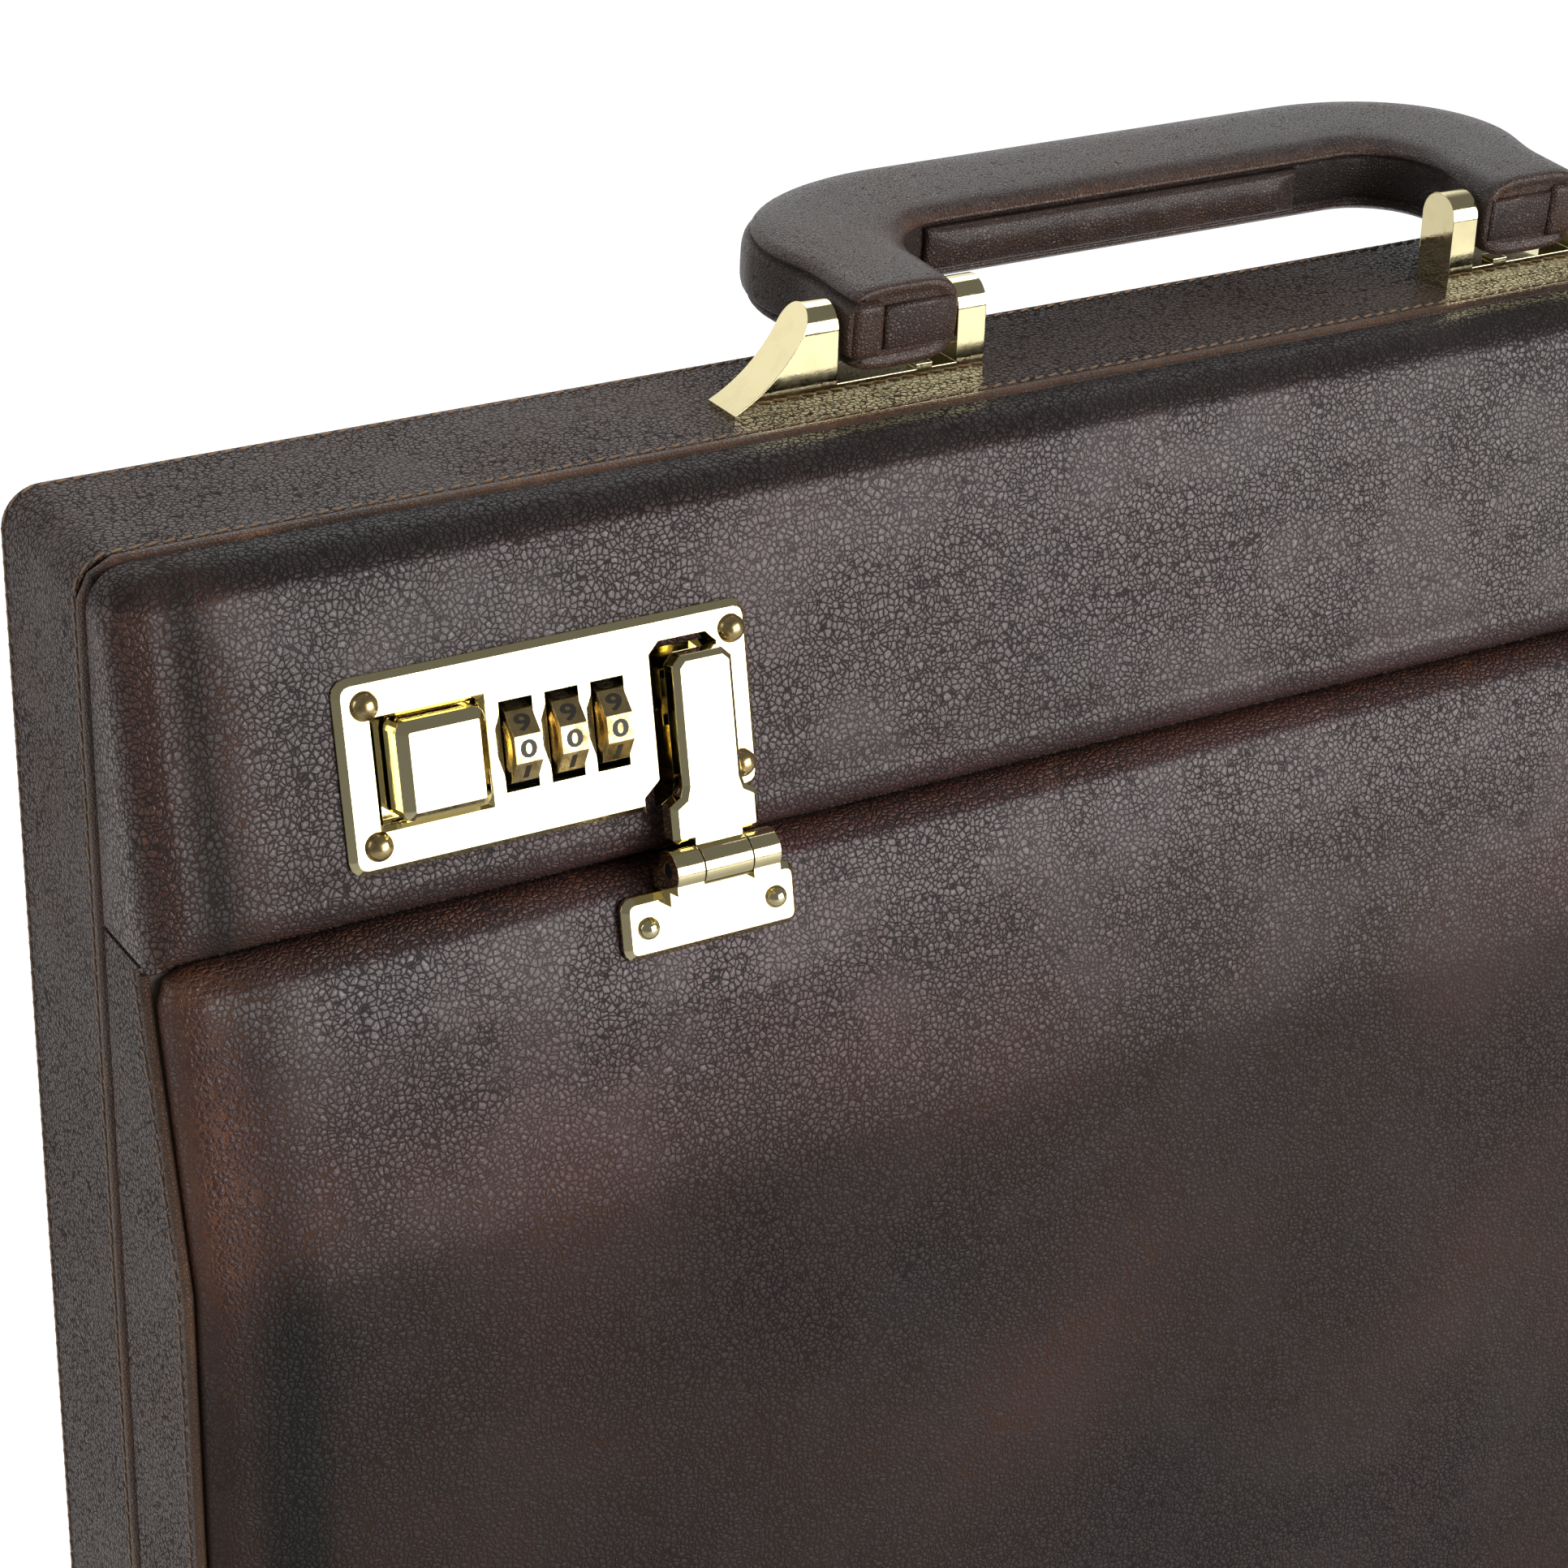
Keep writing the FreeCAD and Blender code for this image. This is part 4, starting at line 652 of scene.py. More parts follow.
def lock_panel_cover():
    low_front_y = panel_top_front.y - (panel_high.z - panel_low.z) * math.tan(panel_lean)
    block = upright_block(Vector((panel_low.x, low_front_y, panel_low.z)), panel_high)
    for vertex in block.verts:
        if vertex.co.y < low_front_y + 0.1 * mm and vertex.co.z > panel_high.z - 0.1 * mm:
            vertex.co.y = panel_top_front.y
    top_corners = edges_if(block, lambda e, m: m.z > panel_high.z - 0.1 * mm
                           and abs(m.x) > panel_high.x - 0.1 * mm)
    round_edges(block, top_corners, shell_corner, 8)
    back = [face for face in block.faces if face.calc_center_median().y > panel_high.y - 0.1 * mm]
    bmesh.ops.delete(block, geom=back, context="FACES")
    front = max(block.faces,
                key=lambda face: -face.calc_center_median().y * (face.normal.dot(panel_out) > 0.99))
    round_edges(block, list(front.edges), 6.9 * mm, 10)
    plate_low, plate_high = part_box("lock_housing_left")
    clear = 0.6 * mm
    opening_x = [plate_low.x - clear, plate_high.x + clear]
    v_low, v_high, slot_end = 27.2 * mm, 49.0 * mm, 55.2 * mm
    step = 2.6 * mm
    cut_through(block, 0, even_places(-panel_high.x, panel_high.x, step))
    cut_through(block, 2, even_places(panel_low.z, panel_high.z, step))
    slot_x = [-129.1 * mm, -138.0 * mm]
    for x in opening_x + slot_x:
        cut_through(block, 0, [x, -x])
    for v in (v_low, v_high, slot_end):
        parts = block.verts[:] + block.edges[:] + block.faces[:]
        bmesh.ops.bisect_plane(block, geom=parts, dist=0.001 * mm, plane_co=on_panel(0, v, 0),
                               plane_no=panel_down)

    def in_opening(face):
        x, v, n = panel_place(face.calc_center_median())
        if n < -1 * mm:
            return False
        x = -abs(x)
        housing = opening_x[0] < x < opening_x[1] and v_low < v < v_high
        slot = slot_x[1] < x < slot_x[0] + 6 * mm and v_low < v < slot_end
        return housing or slot

    bmesh.ops.delete(block, geom=[face for face in block.faces if in_opening(face)], context="FACES")
    half = panel_high.x
    tall = (panel_high.z - panel_low.z) / math.cos(panel_lean)
    for vertex in block.verts:
        x, v, n = panel_place(vertex.co)
        if n < -3 * mm:
            continue
        side = half - abs(x)
        valley = 0.7 * math.exp(-((side - 13 * mm) / (4.5 * mm)) ** 2)
        valley = max(valley, 0.5 * math.exp(-((v - 9 * mm) / (4 * mm)) ** 2))
        valley = max(valley, 0.25 * math.exp(-((tall - v - 8 * mm) / (3 * mm)) ** 2))
        near = smooth_step(side, 3 * mm, 8 * mm) if side < 8 * mm else 1.0
        ripple = 0.10 * noise.noise(Vector((x, v, 0)) * 35.0) * near
        uneven = 0.75 + 0.5 * noise.noise(Vector((x * 20, v * 20, 4)))
        vertex.co -= panel_out * (valley * uneven - ripple) * mm
    cover = new_piece("lock_panel_cover", block, front_leather, merge=0.002 * mm)

    def wear(place):
        x, v, n = panel_place(place)
        side = half - abs(x)
        sides = 0.75 * (1 - smooth_step(side, 2 * mm, 9 * mm))
        return min(1.0, sides + 0.5 * (1 - smooth_step(tall - v, 1.0 * mm, 4 * mm)))

    def crackle(place):
        x, v, n = panel_place(place)
        side = half - abs(x)
        return 0.9 * math.exp(-((side - 13 * mm) / (7 * mm)) ** 2)

    # Painted shade: dark in the valley round the face, along the top edge and along the bottom edge.
    def soil(place):
        x, v, n = panel_place(place)
        side = half - abs(x)
        valley = 0.9 * math.exp(-((side - 12.0 * mm) / (5.0 * mm)) ** 2)
        top = 0.75 * (1 - smooth_step(v, 2.0 * mm, 6.0 * mm))
        return max(valley, top, 0.6 * (1 - smooth_step(tall - v, -1.0 * mm, 1.2 * mm)))

    mark(cover, wear=wear, crackle=crackle, soil=soil)
    thick = cover.modifiers.new("thickness", "SOLIDIFY")
    thick.thickness = 0.6 * mm
    thick.offset = -1.0
    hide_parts("lock_panel_leather")
    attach(cover, "case")


lock_panel_cover()


# ---------------------------------------------------------------- lid
# The lid is a tray of board.  A flat strip of leather wraps its sides, and a padded sheet covers its face,
# which follows the panel's slope and then drops straight to the bottom.
finish(board, "lid_walls", "lid_front_board")
strip_leather = leather("strip leather", (0.055, 0.030, 0.021, 1), (0.095, 0.056, 0.041, 1),
                        (0.17, 0.080, 0.040, 1), pebbles=900.0, crease=0.15, pores=0.25, bump=0.00020,
                        gloss=0.35, coat=0.18)
finish(strip_leather, "lid_strip_leather")

# The strips' front edge: flat from the bottom up to the bend, then leaning back up to the top.
strip_flat_y = -(30.0 + 12.746) * mm
strip_bend_z = 218 * mm


def lid_face():
    low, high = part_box("lid_face_pad")
    slope_top_y = panel_top_front.y - (panel_high.z - high.z) * math.tan(panel_lean)
    bend_z = high.z - (slope_top_y - low.y) / math.tan(panel_lean)
    shrink = 0.5 * mm
    block = upright_block(low + Vector((shrink, shrink, shrink)), high - Vector((shrink, 0, 0.2 * mm)))
    cut_through(block, 2, [bend_z])
    for vertex in block.verts:
        place = vertex.co
        if place.y < low.y + 2 * shrink:
            if place.z > bend_z + 1 * mm:
                place.y = low.y + shrink + (place.z - bend_z) * math.tan(panel_lean)
        else:
            slope = (30.0 - 17.0) / (273.6 - 218.0)
            place.y = strip_flat_y + slope * max(0.0, place.z - bend_z - 1 * mm)
    sides = edges_if(block, lambda e, m: m.z < low.z + 1 * mm and abs(m.x) > high.x - 1 * mm
                     and runs_along(e, 1))
    round_edges(block, sides, shell_corner - 1.5 * mm, 6)
    rim = [edge for edge in block.edges if len(edge.link_faces) == 2
           and any(face.normal.y < -0.9 for face in edge.link_faces)
           and any(abs(face.normal.y) < 0.5 for face in edge.link_faces)]
    round_edges(block, rim, 5.7 * mm, 6)
    margin, step = 6 * mm, 4 * mm
    cut_through(block, 0, even_places(low.x + margin, high.x - margin, step))
    cut_through(block, 2, even_places(low.z + margin, high.z - margin, step))
    face = new_piece("lid_face", block, front_leather)
    half, tall = high.x, high.z
    hasp_low, hasp_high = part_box("hasp_base_left")
    centre = (hasp_low + hasp_high) / 2

    def free(place):
        strip_y = strip_flat_y + max(0.0, place.z - strip_bend_z) * 0.2338
        if place.y > strip_y - 0.8 * mm:
            return 0.0
        near = max(abs(abs(place.x) - abs(centre.x)) - 17 * mm, abs(place.z - centre.z) - 5 * mm, 0.0)
        top = smooth_step(tall - place.z, 2 * mm, 16 * mm)
        side = smooth_step(min(half - abs(place.x), place.z - low.z), 3 * mm, 18 * mm)
        return smooth_step(near, 0.5 * mm, 14 * mm) * (0.15 + 0.85 * top) * side

    plump(face, 1.6 * mm, free)

    def wear(place):
        side = half - abs(place.x)
        edge = min(side, place.z - low.z)
        rubbed = 1 - smooth_step(edge, 1.5 * mm, 6 * mm)
        top = 0.6 * (1 - smooth_step(tall - place.z, 1.0 * mm, 4.0 * mm))
        streak = noise.noise(Vector((place.x * 9 + place.z * 7, place.z * 22, 3.0)))
        return min(1.0, 0.55 * rubbed + top + 0.35 * max(0.0, streak - 0.12))

    def crackle(place):
        side = half - abs(place.x)
        patch = 0.5 + noise.noise(Vector((place.x * 14, place.z * 18, 7.0)))
        lower = smooth_step(tall - place.z, 25 * mm, 70 * mm)
        return min(1.0, max(0.0, 0.9 * (1 - smooth_step(side, 6 * mm, 30 * mm)) + 0.8 * patch * lower))

    # Painted shade: dark in a band inside each side and, patchy, over the lower part of the face.
    def soil(place):
        side = half - abs(place.x)
        valley = 0.45 * math.exp(-((side - 15 * mm) / (6 * mm)) ** 2)
        patch = 0.25 + 0.5 * noise.noise(Vector((place.x * 11 + 5, place.z * 11, 1.0)))
        lower = smooth_step(tall - place.z, 36 * mm, 66 * mm)
        return min(1.0, max(valley, 0.0) + (0.58 + 0.4 * max(0.0, patch)) * lower)

    mark(face, wear=wear, crackle=crackle, soil=soil)
    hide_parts("lid_face_pad")
    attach(face, "lid")


lid_face()


edge_leather = leather("edge leather", (0.040, 0.022, 0.015, 1), (0.085, 0.045, 0.026, 1),
                       (0.19, 0.09, 0.04, 1), pebbles=1400.0, crease=0.12, pores=0.2, bump=0.00015,
                       marks=True)
strip_low, strip_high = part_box("lid_strip_leather")


def strip_front_y(z):
    """Front edge of the lid's side strips at one height."""
    return strip_flat_y + max(0.0, z - strip_bend_z) * 13.0 / 55.6


def lid_edge_path():
    """The line round the front edge of the lid's strips: down the left side, along the bottom and up."""
    half, low_z, radius = strip_high.x - 0.4 * mm, strip_low.z + 0.4 * mm, shell_corner - 0.4 * mm
    points = []
    for z in (272.6, 262, 250, 238, 228, 222, 218, 214, 205, 180, 150, 120, 90, 60, 40, 30, 24):
        points.append(Vector((-half, strip_front_y(z * mm), z * mm)))
    for index in range(9):
        turn = math.pi + index * math.pi / 16
        points.append(Vector((-half + radius + radius * math.cos(turn), strip_front_y(0),
                              low_z + radius + radius * math.sin(turn))))
    for x in (-190, -120, -40):
        points.append(Vector((x * mm, strip_front_y(0), low_z)))
    mirrored = [Vector((-point.x, point.y, point.z)) for point in reversed(points)]
    return points + mirrored


edge_path = [point + Vector((0, -0.5 * mm, 0)) for point in lid_edge_path()]
edge_roll = roll("lid_edge_roll", edge_path, 1.0 * mm, 12, edge_leather)
mark(edge_roll, wear=lambda place: 0.5 + 0.6 * noise.noise(place * 50.0), crackle=lambda place: 0.5)
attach(edge_roll, "lid")


def lid_stitches():
    """Stitches along the lid's strips, a little behind their rolled edge."""
    places = []
    path = [point + Vector((0, 3.0 * mm, 0)) for point in lid_edge_path()]
    for first, second in zip(path, path[1:]):
        way = second - first
        count = max(1, round(way.length / stitch_step))
        for index in range(count):
            at = first + way * ((index + 0.5) / count)
            if at.z > strip_low.z + shell_corner:
                out = Vector((1 if at.x > 0 else -1, 0, 0))
            elif abs(at.x) < strip_high.x - shell_corner:
                out = Vector((0, 0, -1))
            else:
                corner = Vector((math.copysign(strip_high.x - shell_corner, at.x), at.y,
                                 strip_low.z + shell_corner))
                out = (at - corner).normalized()
            side = out.cross(way).normalized()
            along = (way.normalized() + stitch_slant * side).normalized()
            along = (along - out * along.dot(out)).normalized()
            places.append((at + out * 0.42 * mm, along, out))
    return places


sew("lid_stitches", lid_stitches(), 2.1 * mm, "lid")


# ---------------------------------------------------------------- combination locks
# Each lock is a polished brass plate with a bevelled rim, held by four domed rivets over a sheet-steel
# housing.  Behind the plate run the slider of the square button and an axle with three ten-sided dials.
finish(polished_brass, "lock_plate_left", "lock_plate_right", "lock_button_left", "lock_button_right")
finish(aged_brass, "plate_rivets", "dial_axle_left", "dial_axle_right")
finish(blued_steel, "lock_housing_left", "lock_housing_right", "lock_slider_left", "lock_slider_right")


def recess_cup(side):
    """The pressed brass pan behind a button's recess, with a slot for the button's shank."""
    turn = -1 if side == "left" else 1
    middle_x, v = 178.9 * mm, 38.05 * mm
    cup = bmesh.new()
    bmesh.ops.create_cube(cup, size=1.0)
    bmesh.ops.scale(cup, vec=Vector((19.6, 2.7, 18.4)) * mm, verts=cup.verts)
    front = [face for face in cup.faces if face.normal.y < -0.9]
    bmesh.ops.delete(cup, geom=front, context="FACES")
    floor = [face for face in cup.faces if face.normal.y > 0.9]
    bmesh.ops.inset_region(cup, faces=floor, thickness=3.4 * mm, depth=0.0)
    slot = [face for face in cup.faces if face.normal.y > 0.9 and face.calc_area() < 0.0002
            and face.calc_center_median().length < 1.5 * mm]
    bmesh.ops.delete(cup, geom=slot, context="FACES")
    bmesh.ops.solidify(cup, geom=cup.faces[:], thickness=0.3 * mm)
    stand = Matrix(((1, 0, 0), tuple(-panel_out), tuple(-panel_down))).transposed().to_4x4()
    bmesh.ops.transform(cup, matrix=Matrix.Translation(on_panel(turn * middle_x, v, -1.35 * mm)) @ stand,
                        verts=cup.verts)
    piece = new_piece("recess_cup_" + side, cup, polished_brass, smooth=False)
    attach(piece, "case")


recess_cup("left")
recess_cup("right")
digit_paint = speckled("digit paint", 3000.0, 3.0, (0.006, 0.005, 0.004, 1), (0.03, 0.022, 0.012, 1),
                       rough=0.5)


def dial_digits(side, index):
    """Ten painted digits, one on each face of a dial; the next higher digit lies below the one that shows."""
    low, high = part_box("dial_%d_%s" % (index, side))
    middle = (low + high) / 2
    flat_r = 7.6 * mm * math.cos(math.radians(18))
    meshes = []
    for digit in range(10):
        letters = bpy.data.curves.new("digit", "FONT")
        letters.body = str(digit)
        letters.size = 4.4 * mm
        letters.offset = 0.13 * mm
        letters.extrude = 0.03 * mm
        letters.align_x = "CENTER"
        letters.align_y = "CENTER"
        letters.resolution_u = 3
        held = bpy.data.objects.new("digit", letters)
        bpy.context.scene.collection.objects.link(held)
        bpy.context.view_layer.update()
        seen = bpy.context.evaluated_depsgraph_get()
        mesh = bpy.data.meshes.new_from_object(held.evaluated_get(seen))
        bpy.data.objects.remove(held)
        xs = [vertex.co.x for vertex in mesh.vertices]
        ys = [vertex.co.y for vertex in mesh.vertices]
        centre = Vector(((min(xs) + max(xs)) / 2, (min(ys) + max(ys)) / 2, 0))
        mesh.transform(Matrix.Translation(-centre))
        mesh.transform(Matrix.Diagonal((1.4, 0.95, 1.0, 1.0)))
        face_out = panel_out * (flat_r + 0.01 * mm)
        stand = Matrix(((1, 0, 0), tuple(-panel_down), tuple(panel_out))).transposed().to_4x4()
        mesh.transform(Matrix.Translation(face_out) @ stand)
        mesh.transform(Matrix.Rotation(math.radians(36.0 * digit), 4, "X"))
        mesh.transform(Matrix.Translation(middle))
        meshes.append(mesh)
    joined = bmesh.new()
    for mesh in meshes:
        joined.from_mesh(mesh)
    piece = new_piece("digits_%d_%s" % (index, side), joined, digit_paint, smooth=False)
    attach(piece, "dial_%d_%s" % (index, side))


for lock_side in ("left", "right"):
    for dial_index in (1, 2, 3):
        finish(aged_brass, "dial_%d_%s" % (dial_index, lock_side))
        dial_digits(lock_side, dial_index)


# ---------------------------------------------------------------- hasps
# A bevelled tongue turns on a steel pin in the knuckles of a base plate, which two domed rivets hold to
# the lid.
finish(polished_brass, "hasp_tongue_left", "hasp_tongue_right", "hasp_base_left", "hasp_base_right",
       "hasp_rivets")
finish(blued_steel, "hasp_pins")


# ---------------------------------------------------------------- handle brackets
# Two polished castings, each with a straight inner ear and an outer ear that sweeps down as a hollow ramp.
# Screws from inside hold them, and a pin across the ears carries the handle.
finish(polished_brass, "handle_bracket_left", "handle_bracket_right", "handle_pins")
finish(blued_steel, "bracket_screws")


# ---------------------------------------------------------------- handle
# A stitched leather grip over a stiff core: a domed top and bottom piece meet an outer gusset in two dark
# seams, and the grip's inner side is a channel between worn beads that holds a padded strip.
handle_leather = leather("handle leather", (0.024, 0.0098, 0.0064, 1), (0.047, 0.0195, 0.0125, 1),
                         (0.16, 0.066, 0.029, 1), pebbles=1500.0, crease=0.10, pores=0.2, bump=0.00018,
                         rough=(0.28, 0.38), gloss=0.5, coat=0.35, marks=True)
core_metal = metal("handle core", (0.30, 0.28, 0.25, 1), (0.10, 0.08, 0.06, 1), 0.35, 0.6)
finish(core_metal, "handle_core")
pin_low, pin_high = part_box("handle_pins")
pin_centre = Vector((0, (pin_low.y + pin_high.y) / 2, (pin_low.z + pin_high.z) / 2))
handle_turn = Matrix.Translation(pin_centre) @ Matrix.Rotation(math.radians(4.0), 4, "X")


def bezier(a, b, c, d, t):
    s = 1 - t
    return a * s ** 3 + b * (3 * s * s * t) + c * (3 * s * t * t) + d * t ** 3


def handle_stations():
    """Pairs of points on the outer and inner outline of the right half, from the leg's end to the middle."""
    found = []
    for y in (-6.0, -5.6, -4.6, -3.0, -1.0, 1.5, 4.0, 6.5):
        found.append((Vector((84.0, y)), Vector((60.2, y * 0.98))))
    for index in range(1, 6):
        t = index / 5
        outer = Vector((84.0 + 2.6 * smooth_step(t, 0.0, 1.0), 6.5 + 14.5 * t))
        found.append((outer, Vector((60.2, 6.5 + 2.0 * t))))
    steps = 18
    for index in range(1, steps + 1):
        t = index / steps
        outer = bezier(Vector((86.6, 21.0)), Vector((86.6, 37.24)), Vector((69.55, 49.0)),
                       Vector((46.0, 49.0)), t)
        turn = math.radians(90 * t)
        inner = Vector((46.2 + 14 * math.cos(turn), 8.5 + 14 * math.sin(turn)))
        found.append((outer, inner))
    for x in (40.0, 33.0, 25.0, 16.0, 8.0, 0.0):
        found.append((Vector((x, 49.0)), Vector((x, 22.5))))
    return found


def handle_section(u, n, along):
    """Shapes one point of the grip's section: seam grooves outside, worn beads and a channel inside."""
    shift = 0.0
    if u > 0:
        for seam in (-5.2, 5.2):
            shift -= 0.9 * math.exp(-((n - seam) / 0.6) ** 2)
            shift += 0.3 * math.exp(-((n - seam - math.copysign(1.3, seam)) / 0.8) ** 2)
    else:
        inside = 1 - smooth_step(abs(n), 4.3, 5.1)
        shift += 0.9 * inside * along
        for bead in (-5.6, 5.6):
            shift -= 0.35 * math.exp(-((n - bead) / 0.7) ** 2) * along
    return u + shift, n


def handle_grip():
    grip = bmesh.new()
    right = handle_stations()
    left = [(Vector((-outer.x, outer.y)), Vector((-inner.x, inner.y)))
            for outer, inner in reversed(right[:-1])]
    segments = 180
    half_t = 8.2
    squareness = 3.6
    rings = []
    for order, (outer, inner) in enumerate(right + left):
        centre = (outer + inner) / 2
        reach = (outer - inner) / 2
        half_w = reach.length
        way = reach.normalized()
        end = min(order, len(right + left) - 1 - order)
        along = smooth_step(end, 5, 12)
        squeeze = (0.93, 0.97, 0.99)[end] if end < 3 else 1.0
        made = bmesh.ops.create_circle(grip, segments=segments, radius=1.0)
        for vertex in made["verts"]:
            turn = math.atan2(vertex.co.y, vertex.co.x)
            c, s = math.cos(turn), math.sin(turn)
            size = (abs(c) ** squareness + abs(s) ** squareness) ** (-1 / squareness)
            u, n = c * size * half_w * squeeze, s * size * half_t * squeeze
            u, n = handle_section(u, n, along)
            flat = centre + way * u
            vertex.co = handle_turn @ Vector((flat.x * mm, flat.y * mm, n * mm))
        ring = set(made["verts"])
        rings.append([edge for edge in grip.edges if edge.verts[0] in ring and edge.verts[1] in ring])
    for first, second in zip(rings, rings[1:]):
        bmesh.ops.bridge_loops(grip, edges=first + second)
    ends = bmesh.ops.holes_fill(grip, edges=grip.edges, sides=segments)["faces"]
    for face in ends:
        for thickness, depth in ((1.2 * mm, 0.0), (0.5 * mm, -0.5 * mm), (0.5 * mm, 0.0)):
            bmesh.ops.inset_region(grip, faces=[face], thickness=thickness, depth=depth)
    bmesh.ops.recalc_face_normals(grip, faces=grip.faces)
    piece = new_piece("handle_grip", grip, handle_leather)
    back = handle_turn.inverted()

    def wear(place):
        flat = back @ place
        n = abs(flat.z) / mm
        x, y = abs(flat.x) / mm, flat.y / mm
        bead = math.exp(-((n - 5.9) / 0.9) ** 2)
        bead *= (1 - smooth_step(y, 23.0, 27.0)) * (1 - smooth_step(x, 50, 62))
        seam = 0.5 * math.exp(-((n - 6.6) / 0.6) ** 2) * smooth_step(y, 30, 44)
        end = 1 - smooth_step(y, -6.0, -4.2)
        return min(1.0, 0.9 * bead + seam + 0.5 * end)

    # Grime in the two outer seams, and painted shade in the channel on the inner side.
    def soil(place):
        flat = back @ place
        n = abs(flat.z) / mm
        x, y = abs(flat.x) / mm, flat.y / mm
        outside = max(smooth_step(y, 36, 46), smooth_step(x, 74, 82))
        seam = math.exp(-((n - 5.2) / 0.45) ** 2) * outside
        channel = 0.5 * (1 - smooth_step(n, 4.2, 5.0))
        channel *= (1 - smooth_step(y, 23.5, 25.0)) * smooth_step(y, 6, 12)
        return min(1.0, max(0.95 * seam, channel))

    mark(piece, wear=wear, crackle=lambda place: 0.25, soil=soil)
    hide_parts("handle_leather")
    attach(piece, "handle")


handle_grip()


def handle_strip():
    """The padded strip let into the inner side of the grip."""
    strip = upright_block(Vector((-50.0, 22.0, -4.2)) * mm, Vector((35.5, 23.6, 4.2)) * mm)
    for vertex in strip.verts:
        if vertex.co.y < 23 * mm:
            vertex.co.y = 21.4 * mm
    round_edges(strip, edges_if(strip, lambda e, m: m.y < 22 * mm), 1.0 * mm, 4)
    cut_through(strip, 0, even_places(-50 * mm, 35.5 * mm, 1.5 * mm))
    cut_through(strip, 2, even_places(-4.2 * mm, 4.2 * mm, 0.9 * mm))
    for vertex in strip.verts:
        x, y, z = vertex.co / mm
        if y < 22.6:
            across = 1 - (z / 4.2) ** 2
            lengthwise = smooth_step(min(x + 50, 35.5 - x), 0.0, 5.0)
            vertex.co.y -= 0.8 * mm * across * lengthwise * (1 + 0.15 * noise.noise(Vector((x * 0.2, z, 0))))
    bmesh.ops.transform(strip, matrix=handle_turn, verts=strip.verts)
    piece = new_piece("handle_pad", strip, handle_leather)
    mark(piece, wear=lambda place: 0.1, crackle=lambda place: 0.2)
    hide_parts("handle_strip")
    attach(piece, "handle")


handle_strip()


def leg_patch(side):
    """A small square of porous leather let into the end of a leg, inside its beads."""
    patch = upright_block(Vector((61.6, -6.6, -4.2)) * mm, Vector((76.0, -5.0, 4.2)) * mm)
    round_edges(patch, edges_if(patch, lambda e, m: m.y < -6 * mm), 0.7 * mm, 3)
    bead = upright_block(Vector((76.1, -6.9, -5.4)) * mm, Vector((82.7, -4.6, 5.4)) * mm)
    round_edges(bead, edges_if(bead, lambda e, m: m.y < -5 * mm), 1.6 * mm, 5)
    turned_in = bpy.data.meshes.new("bead")
    bead.to_mesh(turned_in)
    bead.free()
    patch.from_mesh(turned_in)
    if side < 0:
        bmesh.ops.scale(patch, vec=(-1, 1, 1), verts=patch.verts)
        bmesh.ops.reverse_faces(patch, faces=patch.faces[:])
    bmesh.ops.transform(patch, matrix=handle_turn, verts=patch.verts)
    piece = new_piece("leg_patch_left" if side < 0 else "leg_patch_right", patch, handle_leather)
    mark(piece, wear=lambda place: 0.15 + 0.35 * (abs(place.x) > 76 * mm), crackle=lambda place: 0.1)
    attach(piece, "handle")


leg_patch(-1)
leg_patch(1)


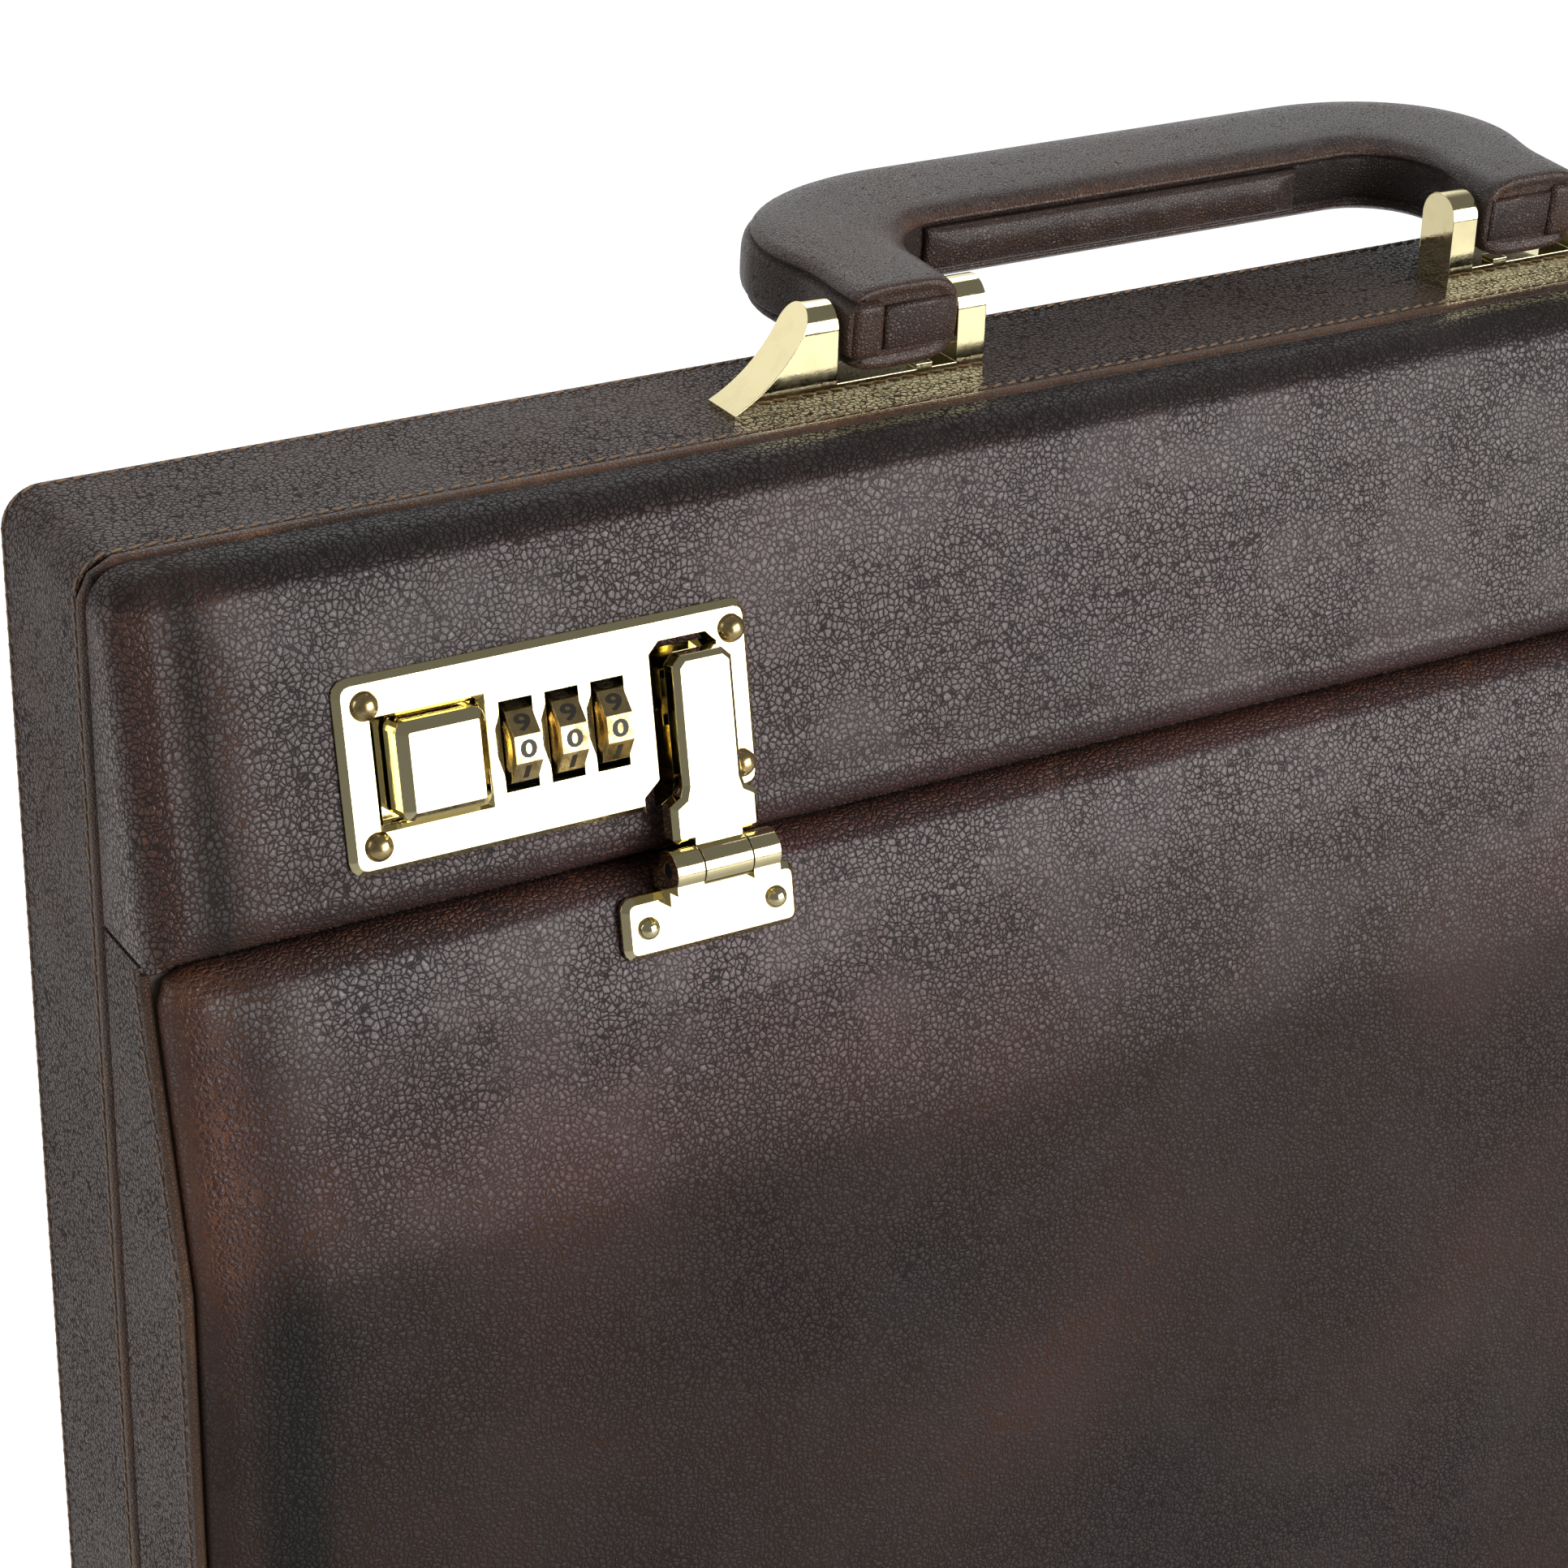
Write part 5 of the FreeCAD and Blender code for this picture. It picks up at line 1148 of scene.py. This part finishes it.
# ---------------------------------------------------------------- studio
# A plain pale floor and a low plinth under the deep back half, so that the lid can open down; white
# surroundings, three soft boxes, and the camera in front of the left end.
def studio():
    scene = bpy.context.scene
    drop = 64 * mm
    ground = bmesh.new()
    bmesh.ops.create_grid(ground, x_segments=4, y_segments=4, size=6.0)
    bmesh.ops.translate(ground, vec=(0, 0, -drop), verts=ground.verts)
    pale, tree, shader, place = new_material("pale floor")
    shader.inputs["Base Color"].default_value = (0.52, 0.52, 0.52, 1)
    shader.inputs["Roughness"].default_value = 0.8
    seen = add(tree, "ShaderNodeLightPath").outputs
    depth = add(tree, "ShaderNodeSeparateXYZ", {0: place}).outputs["Y"]
    # Painted reflection: to glossy and transmission rays the floor glows, more towards the back; to the camera
    # it is white.
    behind = times(tree, ramp(tree, depth, -0.25, 0.25), 0.45)
    level = times(tree, larger(tree, seen["Is Glossy Ray"], seen["Is Transmission Ray"]), behind)
    level = larger(tree, level, times(tree, seen["Is Camera Ray"], 0.8))
    shader.inputs["Emission Color"].default_value = (1, 1, 1, 1)
    tree.links.new(level, shader.inputs["Emission Strength"])
    floor = new_piece("floor", ground, pale, smooth=False)

    block = upright_block(Vector((-0.215, 3 * mm, -drop)), Vector((0.215, 47 * mm, 0)))
    plinth = new_piece("plinth", block, pale, smooth=False)

    world = bpy.data.worlds.new("white surroundings")
    scene.world = world
    world.use_nodes = True
    tree = world.node_tree
    tree.nodes.clear()
    seen = add(tree, "ShaderNodeLightPath").outputs
    way = add(tree, "ShaderNodeTexCoord").outputs["Generated"]
    way = add(tree, "ShaderNodeSeparateXYZ", {0: way}).outputs
    behind = ramp(tree, way["Y"], 0.15, 0.80)
    ceiling = ramp(tree, way["Z"], 0.50, 0.95, 1.0, 0.35)
    soft = 0.28
    shiny = plus(tree, 0.16, times(tree, times(tree, behind, ceiling), 0.84))
    level = plus(tree, soft, times(tree, seen["Is Glossy Ray"], minus(tree, shiny, soft)))
    clear = larger(tree, seen["Is Camera Ray"], seen["Is Transmission Ray"])
    level = larger(tree, level, clear)
    back = add(tree, "ShaderNodeBackground", {"Color": (1, 1, 1, 1), "Strength": level})
    out = add(tree, "ShaderNodeOutputWorld")
    tree.links.new(back.outputs[0], out.inputs[0])

    def soft_box(name, place, aim, wide, tall, power):
        light = bpy.data.lights.new(name, "AREA")
        light.shape = "RECTANGLE"
        light.size = wide
        light.size_y = tall
        light.energy = power
        held = bpy.data.objects.new(name, light)
        held.location = place
        held.rotation_euler = (Vector(aim) - Vector(place)).to_track_quat("-Z", "Y").to_euler()
        scene.collection.objects.link(held)

    soft_box("key_box", (0.58, -1.18, 0.52), (-0.02, 0.0, 0.28), 1.2, 0.95, 21.0)
    soft_box("top_box", (0.5, 0.9, 1.5), (0.0, 0.0, 0.25), 1.0, 0.8, 5.0)
    soft_box("left_box", (-1.4, 0.3, 0.7), (0.0, 0.0, 0.2), 0.7, 0.9, 4.0)

    lens = bpy.data.cameras.new("camera")
    lens.lens = 89.1
    lens.sensor_width = 36.0
    lens.clip_start = 0.01
    camera = bpy.data.objects.new("camera", lens)
    turn = Matrix.Rotation(math.radians(-31.25), 4, "Z") @ Matrix.Rotation(math.radians(63.71), 4, "X")
    turn = turn @ Matrix.Rotation(math.radians(1.69), 4, "Z")
    camera.matrix_world = Matrix.Translation((-0.4263, -0.55305, 0.5818)) @ turn
    scene.collection.objects.link(camera)
    scene.camera = camera
    scene.view_settings.view_transform = "Standard"


studio()
